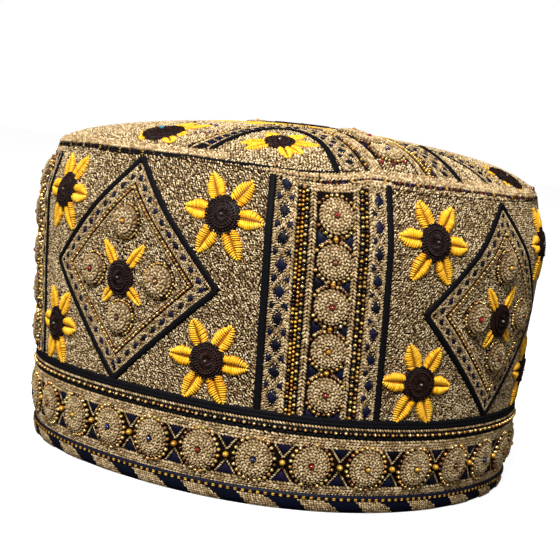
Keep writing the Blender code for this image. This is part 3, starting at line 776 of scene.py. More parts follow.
# Two plaits under the groove at the top of a band: first degree, share of the room, width and flip
ARCH_PLAITS = ((-11.0, 0.45, 1.4, 1), (-6.5, 0.92, 1.45, -1))
ARCH_END = 12.5
# Room for them under the groove, against degrees from the band's middle
ARCH_ROOM = ((-12.0, 0.3), (-9.2, 0.6), (-6.2, 1.6), (-3.0, 2.4), (0.0, 2.7), (4.2, 3.0), (ARCH_END, 2.9))


def make_band(name, centre, beads):
    """Column of medallions between plaits, bead lines and lattices, under two arched plaits."""
    piece = Piece(f"band_{name}_embroidery", "band_thread")
    place = on_wall(centre + BAND_COLUMN, lean=BAND_LEAN)
    low = HEM_TOP + 0.4

    def under_groove(local, share):
        """Height of a line between the groove and the foot of the two plaits under it."""
        local = np.maximum(local, GROOVE_START + 0.1)
        return SEAM_HEIGHT + groove_climb(centre + local) - np.interp(local, *np.array(ARCH_ROOM).T) * share

    def top(x):
        return float(under_groove(BAND_COLUMN - 1.0 + x / MM_PER_DEGREE, 1.0))

    def line(x, drop=0.0):
        return upright(x, low, top(x) - drop)

    # Near-black under-cloth of the band: partly its own colour, partly painted shade between the stitches.
    slab(piece, place, np.linspace(*BAND_CLOTH, 24), np.linspace(low, SEAM_HEIGHT - 1.2, 30), 0.15, "shade")
    for x in BAND_EDGES:
        ribbon(piece, place, line(x, -0.4), 2.4, 0.7, "black")
    for x, width in BAND_ROPES:
        rope(piece, place, line(x), width)
    for x, width in BAND_PLAITS:
        plait(piece, place, line(x), width)
    for x, *facts in BAND_LATTICES:
        lattice(piece, place, (x, low), (x, top(round(x))), BAND_LATTICE_PITCH, *facts)
    for x, *facts in BAND_BEADS:
        bead_line(piece, place, line(x), *facts)
    for number, bead in enumerate(beads):
        y = BAND_TOP_ROUND - BAND_PITCH * number
        medallion(piece, place, 0.0, y, *BAND_ROUND, bead, UP_DOWN)
        if number < len(beads) - 1:
            balls(piece, place, [(0.0, y - BAND_PITCH / 2)], 1.9, 1.0, "amber_bead")
        for sign in (1, -1):
            outline = [(sign * 5.8, y - 5.2), (sign * 5.8, y - 9.5), (sign * 2.7, y - 7.35)]
            patch(piece, place, outline, 0.3)
            angle_line = [(sign * 5.4, y - 4.7), (sign * 1.6, y - 7.3), (sign * 5.4, y - 10.0)]
            rope(piece, place, angle_line, 0.7, rise=0.3)
    for first, share, width, flip in ARCH_PLAITS:
        local = np.linspace(first, ARCH_END, 24)
        x = (local - BAND_COLUMN - BAND_LEAN * BAND_MIDDLE) * MM_PER_DEGREE
        plait(piece, place, np.stack([x, under_groove(local, share)], -1), width, rise=0.25, flip=flip)
    piece.build(f"band_{name}")


# Diamond: its rounds, the lines from its edge inwards, its petals and where its field starts
DIAMOND_ROUNDS = ((-0.3, 17.6), (16.6, -0.4), (1.0, -15.2), (-14.6, -0.6))
DIAMOND_LINES = ((1.05, "line"), (2.5, "rope"), (6.4, "rope"), (7.7, "beads"), (8.9, "rope"))
DIAMOND_LATTICE, DIAMOND_FIELD = 4.4, 9.2
DIAMOND_PETALS = ((52, 15.4, 4.6), (129, 15.0, 4.6), (229, 12.4, 4.2), (321, 13.0, 4.2))


def make_diamond(name, centre, beads):
    """Diamond with a lattice between its edge lines, four medallions and a sunflower."""
    piece = Piece(f"diamond_{name}_embroidery", "diamond_thread")
    place = on_wall(centre, DIAMOND_HEIGHT)
    wide, tall, top = DIAMOND_WIDE, DIAMOND_TALL, DIAMOND_TOP
    depth = wide * tall / math.hypot(wide, tall)

    def ring(inset):
        share = 1 - inset / depth
        return [(wide * share, 0), (0, top * share), (-wide * share, 0), (0, -tall * share)]

    # Near-black under-cloth of the diamond: partly its own colour, partly painted shade between the
    # stitches.
    fan(piece, place, corner_steps(ring(1.1), 8), (0, 0), np.array([0.08] + [0.12] * 5), "shade")
    spots = sown_rows(-tall, top, 2 * wide) - (wide, 0)
    inner = np.abs(spots[:, 0]) / wide + np.abs(spots[:, 1]) / np.where(spots[:, 1] > 0, top, tall)
    keep = inner < 1 - DIAMOND_FIELD / depth
    for x, y in DIAMOND_ROUNDS:
        keep &= np.hypot(spots[:, 0] - x, spots[:, 1] - y) > 6.4
    spots = spots[keep]
    sow(piece, place, spots, wall_tilt(spots[:, 0] + centre * MM_PER_DEGREE), 0.15)
    for inset, kind in DIAMOND_LINES:
        points = ring(inset)
        for i in range(4):
            path = [points[i], points[(i + 1) % 4]]
            if kind == "line":
                ribbon(piece, place, path, 2.2, 0.7, "black")
            elif kind == "rope":
                rope(piece, place, path, 1.0)
            else:
                bead_line(piece, place, path, 1.1, 1.9, "gold", 0.55, ("brown", 0.85))
    points = ring(DIAMOND_LATTICE)
    for i in range(4):
        lattice(piece, place, points[i], points[(i + 1) % 4], 4.75, (2.5, 3.0), cord=0.9, phase=0.6)
    for (x, y), bead in zip(DIAMOND_ROUNDS, beads):
        medallion(piece, place, x, y, 5.4, 0.3, 2.1, bead, ((0, 345),), 1.0)
    flower(piece, place, -0.3, -1.6, 6.1, DIAMOND_PETALS, base=0.35)
    piece.build(f"diamond_{name}")


def corner_steps(corners, count):
    """Closed outline with each side in even steps."""
    corners = [np.asarray(c, float) for c in corners]
    points = []
    for i, corner in enumerate(corners):
        following = corners[(i + 1) % len(corners)]
        points += [corner + (following - corner) * k / count for k in range(count)]
    return points


CORNER_PETALS = ((-3, 14.4), (55, 14.7), (116, 14.5), (178, 14.4), (240, 15.4), (298, 15.6))
CORNER_PETAL_WIDTH, CORNER_DISC = 7.0, 6.4


def make_corner_flowers(name, centre):
    """Four sunflowers round a diamond."""
    for corner, side, up in (("upper_left", -1, 1), ("upper_right", 1, 1),
                             ("lower_left", -1, -1), ("lower_right", 1, -1)):
        piece = Piece(f"flower_{name}_{corner}_silk", "flower_silk")
        place = on_wall(centre + side * FLOWER_ACROSS, FLOWER_HEIGHT + up * FLOWER_UP)
        petals = [(degrees + rng.normal(0, 2), reach, CORNER_PETAL_WIDTH)
                  for degrees, reach in CORNER_PETALS]
        flower(piece, place, 0, 0, CORNER_DISC, petals)
        piece.build(f"flower_{name}_{corner}")


def ring_line(y):
    """A line all round the cap at one height of a layout."""
    return [(TURN * k / 12 - TURN / 2, y) for k in range(13)]


# Hem: lift over its solid, satin lines with their widths, plaits with their flips, and its rounds
HEM_LIFT = 0.6
HEM_SATIN = ((30.6, 1.4), (26.5, 1.2), (28.0, 1.7))
HEM_BEAD_LINE = 28.0
HEM_PLAITS = ((25.0, 1), (23.2, -1), (8.6, 1), (6.9, -1))
HEM_ROUND = (6.5, 0.2, 1.7)
HEM_BEADS = ("red_bead", "amber_bead", "amber_bead", "brown", "blue_bead", "red_bead",
             "amber_bead", "blue_bead", "brown", "red_bead", "amber_bead", "blue_bead",
             "brown", "red_bead", "blue_bead", "amber_bead", "red_bead", "brown", "blue_bead",
             "amber_bead", "red_bead", "amber_bead", "brown", "blue_bead", "brown",
             "amber_bead", "blue_bead", "blue_bead", "red_bead", "blue_bead")


def make_hem():
    """Row of medallions with crossed ropes between them, under satin lines, beads and plaits."""
    on_cloth = on_wall(HEM_PHASE, even=True)

    def place(x, y, rise):
        return on_cloth(x, y, np.asarray(rise) + HEM_LIFT)

    piece = Piece("hem_band_embroidery", "hem_cloth")
    xs = np.linspace(-TURN / 2, TURN / 2, 241)
    # Near-black under-cloth of the hem: partly its own colour, partly painted shade between the stitches.
    slab(piece, place, xs, np.linspace(5.8, HEM_TOP, 14), 0.1, "shade")
    ribbon(piece, on_cloth, [(x, HEM_TOP + 0.3) for x in xs], 2.4, 0.9, "black")
    for y, width in HEM_SATIN:
        ribbon(piece, place, ring_line(y), width, 0.45, "black")
    rope(piece, place, ring_line(29.45), 1.1, step=1.1)
    bead_line(piece, place, ring_line(HEM_BEAD_LINE), 1.25, 3.5, "gold", 0.9)
    bead_line(piece, place, ring_line(HEM_BEAD_LINE), 0.95, 3.5, "brown", 0.8, ("brown", 1.0))
    rope(piece, place, ring_line(6.0), 0.8, step=1.1)
    piece.build("hem_band")
    piece = Piece("hem_plaits", "hem_cloth")
    for y, flip in HEM_PLAITS:
        plait(piece, place, ring_line(y), 1.9, step=1.25, flip=flip)
    piece.build()
    pitch, half = TURN / HEM_MEDALLIONS, HEM_MEDALLIONS // 2
    for label, first in (("a", 0), ("b", half)):
        piece = Piece(f"hem_medallions_{label}", "hem_cloth")
        for number in range(first, first + half):
            x = pitch * number - pitch * half
            bead = HEM_BEADS[(number - half) % HEM_MEDALLIONS]
            medallion(piece, place, x, HEM_ROW, *HEM_ROUND, bead, CORNERS, 1.45)
            middle = x + pitch / 2
            balls(piece, place, [(middle, HEM_ROW)], 2.3, 1.0, "amber_bead")
            for sign in (1, -1):
                edge = HEM_ROW + sign * 6.4
                outline = [(middle - 2.9, edge), (middle + 2.9, edge), (middle, edge - sign * 3.4)]
                patch(piece, place, outline, 0.2)
                for wing in (1, -1):
                    rope(piece, place, [(middle, HEM_ROW + sign * 1.6), (middle + wing * 3.7, edge)], 0.8)
        piece.build()


# Rim roll: section as offset from the wall against height, its outer side last
RIM_SECTION = ((-2.2, 6.4), (-2.2, 1.0), (-1.6, 0.0), (0.9, 0.0), (1.7, 0.6), (2.1, 1.8), (2.2, 3.5),
               (2.0, 5.2), (1.6, 6.4))
RIM_FIRST_OUTER, RIM_COLUMNS = 3, 240
CURL_HEIGHT, CURL_ANGLE, FLOOR_CLEARANCE = 2.4, 0.9, 0.12
# Leaves on the roll: the upper edge, the height, the way its foot lies back, the length and the taper
LEAVES, LEAF_PHASE, LEAF_ROWS = 28, -1.0, 6
LEAF_TOP, LEAF_TALL, LEAF_BACK, LEAF_LONG, LEAF_TAPER = 4.3, 4.0, 4.4, 15.6, 6.2


def make_rim():
    """Rolled edge: a navy roll with slanted tan leaves and a line of gold dashes."""
    piece = Piece("rim_roll", "rim_cloth")
    rows = []
    for offset, height in RIM_SECTION:
        degrees = np.linspace(-180, 180, RIM_COLUMNS, endpoint=False)
        base = wall_surface(degrees, np.full(RIM_COLUMNS, height))
        base[:, 2] = height
        radius = np.hypot(base[:, 0], base[:, 1])
        base[:, :2] *= ((radius + offset) / radius)[:, None]
        rows.append(base)
    faces = grid_faces(RIM_COLUMNS, len(RIM_SECTION), closed=True)
    piece.add(np.stack(rows, 1).reshape(-1, 3), faces, "navy", 0.3)
    outer = np.array(RIM_SECTION[RIM_FIRST_OUTER:])

    def place(x, y, rise):
        """x is millimetres round the roll and y the height; near the floor it curls under."""
        x, y, rise = np.broadcast_arrays(*(np.asarray(v, float) for v in (x, y, rise)))
        offset = np.interp(y, outer[:, 1], outer[:, 0])
        base = wall_surface(x / MM_PER_DEGREE, y)
        base[..., 2] = y
        radius = np.hypot(base[..., 0], base[..., 1])
        tilt = np.clip((CURL_HEIGHT - y) / CURL_HEIGHT, 0, 1) * CURL_ANGLE
        base[..., :2] *= ((radius + offset + rise * np.cos(tilt)) / radius)[..., None]
        base[..., 2] = np.maximum(base[..., 2] - rise * np.sin(tilt), FLOOR_CLEARANCE)
        return base

    dash_line(piece, place, ring_line(5.0), 0.9, 1.35, 0.15, ("gold_thread", "black"))
    pitch = TURN / LEAVES
    for number in range(LEAVES):
        x0 = pitch * number - TURN / 2 + LEAF_PHASE * MM_PER_DEGREE
        start, end = [], []
        for row in range(LEAF_ROWS):
            v = (row + 0.5) / LEAF_ROWS
            y = LEAF_TOP - LEAF_TALL * v
            left = x0 + LEAF_BACK * v
            right = x0 + LEAF_LONG - LEAF_TAPER * (1 - v) ** 1.6
            steps = max(2, round((right - left) / 0.95))
            at = left + (right - left) * (np.arange(steps) + 0.5 * (row % 2) + 0.25) / steps
            start += [(u - 0.55, y + 0.30) for u in at]
            end += [(u + 0.55, y - 0.30) for u in at]
        stitches(piece, place, start, end, 0.68, 0.32, 0.1, "tan")
    piece.build("rim_binding")


# Ground stitches: the way between them and between rows, their length, width and random offset
GRAIN_STEP, GRAIN_ROW, GRAIN_LONG, GRAIN_WIDE, GRAIN_JITTER = 0.98, 0.70, 1.30, 0.68, 0.15
GRAIN_SLANT, GRAIN_SWAY = 38.0, 30
BAND_SPAN = (-21.8, 18.3)


def sow(piece, place, spots, tilt, rise=0.02):
    """Small raised stitches at spots of a layout, slanted by tilt degrees."""
    spots = spots + rng.normal(0, GRAIN_JITTER, spots.shape)
    turn = np.radians(tilt + rng.normal(0, GRAIN_SWAY, len(spots)))
    length = rng.uniform(0.9, 1.2, len(spots)) * GRAIN_LONG
    half = np.stack([np.cos(turn), np.sin(turn)], -1) * (length / 2)[:, None]
    tint = np.clip(rng.normal(0.52, 0.36, len(spots)), 0, 1)
    wide = rng.uniform(0.85, 1.15, len(spots)) * GRAIN_WIDE
    stitches(piece, place, spots - half, spots + half, wide, wide * 0.62, rise, "grain", tint, KNOT)


def sown_rows(low, high, length):
    """Staggered rows of spots over a strip."""
    rows = []
    for number, y in enumerate(np.arange(low, high, GRAIN_ROW)):
        count = round(length / GRAIN_STEP)
        x = (np.arange(count) + 0.5 * (number % 2)) / count * length
        rows.append(np.stack([x, np.full(count, y)], -1))
    return np.concatenate(rows)


def off_centre(x, y, centre, lean=0.0):
    """Millimetres round from the nearest of four places a quarter turn apart."""
    degrees = x / MM_PER_DEGREE - centre - lean * (y - LEAN_HEIGHT)
    return ((degrees + 45.0) % 90.0 - 45.0) * MM_PER_DEGREE


def inside(places, loop):
    """Whether places lie inside a closed loop of points."""
    x, y = places.T
    odd = np.zeros(len(places), bool)
    for (x0, y0), (x1, y1) in zip(loop, np.roll(loop, -1, axis=0)):
        crosses = (y0 > y) != (y1 > y)
        odd ^= crosses & (x < (x1 - x0) * (y - y0) / (y1 - y0 + 1e-12) + x0)
    return odd


def on_crown_pattern(places):
    """Whether places in plan lie in a band of the crown or in the lattice beside the arch."""
    outward, side = crown_axes(math.radians(CROWN_BAND_ANGLE))
    along, aside = places @ outward, places @ side
    hidden = (np.abs(along) > CROWN_BAND_INNER) & (np.abs(aside * np.sign(along)) < CROWN_BAND_HALF)
    for sign in (1, -1):
        loop = np.concatenate([np.array(ARCH[:ARCH_LOOP]), np.array(OUTER_ARCH)[::-1]]) * sign
        hidden |= inside(places, loop)
    return hidden


def wall_tilt(x):
    """Slant of the ground stitches, which changes sides every quarter turn."""
    return np.where((x / MM_PER_DEGREE) % 180.0 < 90.0, GRAIN_SLANT, -GRAIN_SLANT)


def make_wall_stitches():
    """Raised ground stitches between the bands and the diamonds."""
    spots = sown_rows(HEM_TOP + 1.3, SEAM_HEIGHT + 6.0, TURN)
    x, y = spots.T
    climb = groove_climb(x / MM_PER_DEGREE)
    band = off_centre(x, y, BAND_COLUMN, BAND_LEAN)
    across_diamond = np.abs(off_centre(x, y, 45.0)) / DIAMOND_WIDE
    up_diamond = np.abs(y - DIAMOND_HEIGHT) / np.where(y > DIAMOND_HEIGHT, DIAMOND_TOP, DIAMOND_TALL)
    free = (y < SEAM_HEIGHT + climb - 0.5) & (across_diamond + up_diamond > 0.99)
    free &= (band < BAND_SPAN[0]) | (band > BAND_SPAN[1])
    piece = Piece("wall_stitches", "wall_cloth")
    sow(piece, on_wall(0.0), spots[free], wall_tilt(x[free]))
    piece.build()


def make_crown_stitches():
    """Raised ground stitches of the crown: rings up its slope, and straight rows in its middle."""
    piece = Piece("crown_stitches", "crown_cloth")
    angles = np.linspace(-math.pi, math.pi, 721)
    climbs = np.arange(0.4, EDGE_CLIMBS[-1] - 1.0, GRAIN_ROW)
    for number, climb in enumerate(climbs):
        radius = crown_share(angles, climb) * SEAM_RADIUS * plan_factor(angles)
        line = np.stack([radius * np.sin(angles), -radius * np.cos(angles)], -1)
        places, way, _ = walk(line, GRAIN_STEP)
        theta = np.degrees(np.arctan2(places[:, 0], -places[:, 1]))
        even = np.interp(theta, np.degrees(ROUND_ANGLE), ROUND_DEGREES)
        keep = (upper_climb(even) + 0.9 < climb) & ~on_crown_pattern(places)
        heading = np.degrees(np.arctan2(way[:, 1], way[:, 0]))
        if keep.any():
            sow(piece, on_crown, places[keep], heading[keep] + 30.0 * (-1) ** number)
    rest = float(crown_share(0.0, climbs[-1]) * SEAM_RADIUS)
    side = np.arange(-rest, rest, GRAIN_STEP)
    grid = np.stack([g.ravel() for g in np.meshgrid(side, np.arange(-rest, rest, GRAIN_ROW))], -1)
    grid = grid[np.hypot(*grid.T) < rest - 0.5]
    sow(piece, on_crown, grid, np.where(np.arange(len(grid)) % 2, 25.0, -25.0))
    piece.build()


SHELL_COLUMNS = 181
# The outer face is near-black cloth: partly its own colour, partly painted shade between the ground
# stitches.
FACINGS = ((0.0, 1, "cloth_and_gap_shade"), (CLOTH, -1, "inside"))


def make_wall_shell():
    """Cloth under the wall's stitches, its lining, and a strip that covers the seam."""
    degrees = np.linspace(-180, 180, SHELL_COLUMNS)
    heights = np.concatenate([np.linspace(6.0, 96.0, 16), np.linspace(98.0, SEAM_HEIGHT, 7)])
    piece = Piece("side_wall_cloth", "wall_cloth")
    grid_x, grid_y = grid_points(degrees, heights)
    for inset, flip, material in FACINGS:
        verts = lifted(wall_surface, grid_x, grid_y, np.full(grid_x.size, -inset))
        faces = grid_faces(len(degrees), len(heights))[:, ::flip]
        piece.add(verts, faces, material, u=grid_x * MM_PER_DEGREE, v=grid_y)
    xs, ys = np.linspace(0, TURN, SHELL_COLUMNS) - TURN / 2, SEAM_HEIGHT + np.array([-0.8, 0.0, 0.1, 0.9])
    # Strip over the seam in the same near-black cloth, partly painted shade.
    slab(piece, on_wall(0.0), xs, ys, 0.05, "cloth_and_gap_shade")
    piece.build("side_wall")


def make_crown_shell():
    """Cloth under the crown's stitches and its lining."""
    shares = np.concatenate([np.linspace(1, 0.9, 8), np.linspace(0.87, 0.002, 18)])
    angles = np.linspace(-math.pi, math.pi, SHELL_COLUMNS)
    piece = Piece("crown_cloth", "crown_cloth")
    angle, share = grid_points(angles, shares)
    for inset, flip, material in FACINGS:
        radius = share * (SEAM_RADIUS * plan_factor(angle) - inset)
        verts = crown_surface(radius * np.sin(angle), -radius * np.cos(angle))
        verts[:, 2] -= inset * 0.6 * (1 - share ** 8)
        grid = verts.reshape(len(angles), len(shares), 3)
        way = np.linalg.norm(np.diff(grid, axis=1), axis=2)
        arc = np.cumsum(way[:, ::-1], axis=1)[:, ::-1]
        arc = np.concatenate([arc, np.zeros((len(angles), 1))], axis=1).ravel()
        faces = grid_faces(len(angles), len(shares))[:, ::flip]
        piece.add(verts, faces, material, u=arc * np.sin(angle), v=-arc * np.cos(angle))
    piece.build("crown_panel")


def groove_plait(first, last, offset, share):
    """Line of a plait over the groove, held below the groove's next turn where both run side by side."""
    degrees = np.arange(first, last + 0.5, 1.5)
    low = groove_at(degrees)
    room = groove_at(degrees + 180.0) - low
    climb = low + np.where(degrees + 180.0 < GROOVE_END + 1.0, np.minimum(room * share, offset), offset)
    return np.stack([degrees * MM_PER_DEGREE, SEAM_HEIGHT + climb], -1)


BRIGHT_DASHES = ("black", "seed", "gold_thread", "black", "brown_thread", "black", "seed", "red_thread",
                 "black", "brown_thread", "black", "purple_thread")
DARK_DASHES = ("black", "seed", "black", "brown_thread", "black", "seed", "black", "black", "seed",
               "gold_thread", "black")
DASH_CHANGE = 92.0
# Two plaits over the groove: offset, share of the room beside the next turn, and flip
EDGE_PLAITS = ((1.75, 0.30, 1), (3.45, 0.68, -1))


def make_seam():
    """Groove that winds along the seam in two half turns, with a black line as its painted shadow, and the
    plaits above it.
    """
    piece = Piece("crown_edge_plaits", "braid_thread")
    start = GROOVE_START
    for turn in (0.0, 180.0):
        place = on_wall(turn)
        # Black lines along the groove: painted shadow in the groove.
        ribbon(piece, place, round_line(start + 0.5, start + 172.0), 1.35, 0.1, "black")
        ribbon(piece, place, round_line(start + 171.0, start + 192.8), 1.0, 0.45, "black")
        dash_line(piece, place, round_line(start + 6.0, DASH_CHANGE), 1.15, 1.1, 0.25, BRIGHT_DASHES)
        dash_line(piece, place, round_line(DASH_CHANGE, start + 150.0), 1.1, 1.1, 0.2, DARK_DASHES)
        for offset, share, flip in EDGE_PLAITS:
            narrow = groove_plait(start - 2.0, -2.6, offset, share)
            plait(piece, place, narrow, 1.4, step=1.2, flip=flip, rise=0.2)
            wide = groove_plait(-3.3, start + 168.0, offset, share)
            plait(piece, place, wide, 1.9, step=1.25, flip=flip, rise=0.2)
        plait(piece, place, round_line(8.0, 64.0, 5.15), 1.8, step=1.25, rise=0.15)
    piece.build("crown_braid")


# Band of the crown: its turn, inner end and half width, and what lies across it
CROWN_BAND_ANGLE, CROWN_BAND_INNER, CROWN_BAND_HALF = 16.5, 46.0, 22.5
CROWN_BAND_FOOT = (86.8, 0.0045, 0.03)
CROWN_BAND_EDGE = ((23.4, -68), (24.8, -57), (27.5, -46))
CROWN_BAND_OUTER_ROPES, CROWN_BAND_INNER_ROPES = (-21.6, 21.6), (-14.9, 14.6)
CROWN_BAND_PLAITS = (-11.2, -8.9, 7.6)
CROWN_BAND_LATTICES = (-18.3, 18.1)
CROWN_BAND_BEADS = ((-13.2, 1.15, "mixed", 0.5), (10.2, 1.2, "gold", 0.6), (11.6, 1.15, "mixed", 0.5),
                    (12.8, 1.15, "mixed", 0.5))
CROWN_ROUND, CROWN_ROUND_ACROSS = (5.6, 0.25, 1.6), -0.9
CROWN_ROUNDS = ((-73.2, "blue_bead"), (-59.0, "red_bead"), (-46.5, "amber_bead"))


def make_crown_band(name, angle):
    """Band of plaits, lattices and three medallions from the crown's edge towards its middle."""
    piece = Piece(f"crown_band_{name}_embroidery", "band_thread")
    outward, side = crown_axes(math.radians(angle))

    def place(x, y, rise):
        """x is across the band and y the plan distance from the cap's middle, inwards."""
        x, y = np.broadcast_arrays(np.asarray(x, float), np.asarray(y, float))
        plan = x[..., None] * side - y[..., None] * outward
        return on_crown(plan[..., 0], plan[..., 1], rise)

    def low(x):
        return -(CROWN_BAND_FOOT[0] - CROWN_BAND_FOOT[1] * x * x - CROWN_BAND_FOOT[2] * x)

    def line(x):
        return upright(x, low(x), -CROWN_BAND_INNER)

    ribbon(piece, place, [(23.6, low(24)), *CROWN_BAND_EDGE], 2.5, 0.7, "black")
    for x in CROWN_BAND_OUTER_ROPES:
        rope(piece, place, line(x), 1.2)
    for x in CROWN_BAND_PLAITS:
        plait(piece, place, line(x), 2.2)
    for x in CROWN_BAND_INNER_ROPES:
        rope(piece, place, line(x), 1.1)
    for x in CROWN_BAND_LATTICES:
        lattice(piece, place, (x, low(18)), (x, -CROWN_BAND_INNER), 7.4, (3.4, 3.8), wings=(1, -1))
    for x, size, material, rise in CROWN_BAND_BEADS:
        bead_line(piece, place, line(x), size, 1.5, material, rise)
    middle = CROWN_ROUND_ACROSS
    for y, bead in CROWN_ROUNDS:
        medallion(piece, place, middle, y, *CROWN_ROUND, bead, UP_DOWN, 1.05)
        for sign in (1, -1):
            if (y, bead) != CROWN_ROUNDS[-1]:
                outline = [(sign * 6.0 + middle, y + 4.4), (sign * 6.0 + middle, y + 9.4),
                           (sign * 2.9 + middle, y + 6.9)]
                patch(piece, place, outline, 0.15)
    balls(piece, place, [(-6.3, -81.0), (-2.2, -81.8), (3.4, -79.2)], 1.7, 0.8, "red_bead")
    spots = sown_rows(0, 14.5, 12.5) * (1, -1) + (-6.5, -73.0)
    beyond = np.hypot(spots[:, 0] - middle, spots[:, 1] - CROWN_ROUNDS[0][0]) > 7.0
    sow(piece, place, spots[beyond & (spots[:, 1] > low(0) + 0.5)], 30.0, 0.05)
    piece.build(f"crown_band_{name}")


# Lines of the crown, as places in plan; the first points of the arch bound its lattice
ARCH = ((-39.8, -72.0), (-34.5, -67.0), (-29.0, -62.3), (-24.0, -57.8), (-18.5, -54.2), (-13.5, -53.2),
        (-9.6, -55.6), (-6.2, -61.0), (-3.2, -68.5), (-1.2, -77.2), (0.4, -86.6), (0.9, -88.6))
ARCH_LOOP = 8
OUTER_ARCH = ((-47.6, -67.4), (-42.0, -64.2), (-37.0, -61.0), (-32.2, -57.6), (-27.0, -53.6), (-21.8, -49.4),
              (-16.5, -45.2), (-12.0, -42.6), (-8.0, -41.6), (-3.8, -43.6), (0.0, -49.0))
THIN_LINE = ((58.6, -63.0), (57.8, -62.0), (52.5, -54.5), (46.2, -47.0), (42.0, -41.5))
PURPLE_SPOTS = ((-38.5, -44.5), (-36.8, -45.5), (-43.5, -32.0))
RED_SPOT = (84.5, -30.5)
BEAD_ROW = ((-44.5, -55.4), (-37.0, -57.2))

# Sunflowers of the crown: place, disc, bead with its size and offset, petal width and plumpness, petals
CROWN_FLOWERS = (
    ((-17.0, -71.8), 5.3, "seed_bead", 1.1, (0.0, 0.0), 5.2, 0.8,
     ((5, 13.2), (55, 12.0), (118, 11.0), (188, 13.2), (212, 12.4), (292, 12.0), (318, 11.5))),
    ((-55.2, -49.4), 7.6, "turquoise_bead", 1.8, (-2.2, 1.6), 5.4, 0.55,
     ((8, 10.0), (66, 18.5), (98, 19.5), (186, 9.6), (236, 9.0), (328, 12.4))),
    ((70.5, -43.2), 7.0, "seed_bead", 1.1, (0.0, 0.0), 3.0, 0.4,
     ((30, 9.6), (90, 9.8), (150, 9.6), (205, 9.4), (265, 9.2), (325, 9.2))))


def middle_line(inner, outer, share):
    """Line between two lines of points."""
    t = np.linspace(0, 1, 24)
    lines = []
    for line in (inner, outer):
        line = np.asarray(line, float)
        knots = np.linspace(0, 1, len(line))
        lines.append(np.stack([np.interp(t, knots, line[:, k]) for k in (0, 1)], -1))
    return lines[0] * (1 - share) + lines[1] * share


def make_crown_flowers():
    """Three pairs of sunflowers, each half a turn apart."""
    for number, facts in enumerate(CROWN_FLOWERS, 1):
        (x, y), disc, bead, bead_size, bead_at, width, plump, petals = facts
        for label, sign in (("a", 1), ("b", -1)):
            piece = Piece(f"crown_flower_{number}{label}_silk", "flower_silk")
            flower(piece, on_slope(x * sign, y * sign), 0, 0, disc, [(*petal, width) for petal in petals],
                   rise=1.1, bead=bead, bead_size=bead_size, bead_at=bead_at, plump=plump)
            piece.build(f"crown_flower_{number}{label}")


def make_crown_middle():
    """Large flat sunflower inside a plaited ring."""
    piece = Piece("crown_middle_silk", "flower_silk")
    petals = [(57.5 + 30.0 * k, 46.0 if k % 6 == 0 else 37.0, 9.0) for k in range(12)]
    flower(piece, on_crown, 0, 0, 15.0, petals, rise=0.8, plump=0.35)
    plait(piece, on_crown, circle(0, 0, 16.8, 60), 2.2, closed=True)
    piece.build("crown_flower_middle")


def make_crown_lines():
    """Arch with its lattice, a thin line with diamonds, and loose beads, on both halves of the crown."""
    piece = Piece("crown_lines", "braid_thread")
    for sign in (1, -1):
        arch, outer = np.array(ARCH[:ARCH_LOOP]) * sign, np.array(OUTER_ARCH) * sign
        ribbon(piece, on_crown, np.array(ARCH) * sign, 2.2, 0.7, "black")
        rope(piece, on_crown, middle_line(arch, outer, 0.16), 1.1)
        rope(piece, on_crown, middle_line(arch, outer, 0.84), 1.1)
        ribbon(piece, on_crown, outer, 0.9, 0.3, "black")
        bead_line(piece, on_crown, middle_line(arch, outer, 1.0), 1.1, 1.5, "mixed", 0.6)
        rope(piece, on_crown, middle_line(arch, outer, 1.16), 1.1)
        spots, way, _ = walk(middle_line(arch, outer, 0.5), 3.4)
        for k, (spot, w, s) in enumerate(zip(spots, way, across(way))):
            s = s if k % 2 else -s
            patch(piece, on_crown, [spot + w * 1.7 - s * 1.6, spot - w * 1.7 - s * 1.6, spot + s * 1.9])
            rope(piece, on_crown, [spot + w * 1.7 + s * 2.6, spot + w * 1.7 - s * 2.6], 0.8)
        thin = np.array(THIN_LINE) * sign
        ribbon(piece, on_crown, thin, 1.0, 0.5, "black")
        rope(piece, on_crown, beside(thin, -1.6), 1.0)
        rope(piece, on_crown, beside(thin, -6.4), 1.0)
        bead_line(piece, on_crown, beside(thin, -7.8), 1.1, 1.7, "mixed", 0.6)
        spots, way, _ = walk(beside(thin, -4.0), 4.2)
        for spot, w, s in zip(spots, way, across(way)):
            patch(piece, on_crown, diamond_outline(spot, w, s, 1.3, 1.6))
        balls(piece, on_crown, np.array(PURPLE_SPOTS) * sign, 1.6, 0.3, "purple_bead")
        spots = np.linspace(*BEAD_ROW, 6) * sign
        balls(piece, on_crown, spots[::2], 1.25, 0.3, "red_bead")
        balls(piece, on_crown, spots[1::2], 1.25, 0.3, "purple_bead")
        balls(piece, on_crown, np.array((RED_SPOT,)) * sign, 2.0, 0.8, "red_bead")
    piece.build()


# Materials
def feed(tree, inputs, values):
    """Set input sockets by name or number, or link them to the sockets that are to drive them."""
    for key, value in values.items():
        if isinstance(value, bpy.types.NodeSocket):
            tree.links.new(value, inputs[key])
        else:
            inputs[key].default_value = value


def node(tree, kind, values=None, **settings):
    """New node with properties from settings and inputs fed from values."""
    made = tree.nodes.new(kind)
    for key, value in settings.items():
        setattr(made, key, value)
    feed(tree, made.inputs, values or {})
    return made


def new_material(name):
    """Material with its node tree and its shader."""
    material = bpy.data.materials.new(name)
    material.use_nodes = True
    return material, material.node_tree, material.node_tree.nodes["Principled BSDF"]


def ramp(tree, factor, stops):
    """Colour that runs through stops of position and colour."""
    made = node(tree, "ShaderNodeValToRGB", {"Fac": factor})
    elements = made.color_ramp.elements
    while len(elements) < len(stops):
        elements.new(0.5)
    for element, (position, colour) in zip(elements, stops):
        element.position = position
        element.color = (*colour, 1.0)
    return made.outputs["Color"]


def attribute(tree, name):
    """Value that a piece's points carry under a name."""
    return node(tree, "ShaderNodeAttribute", attribute_name=name).outputs["Fac"]


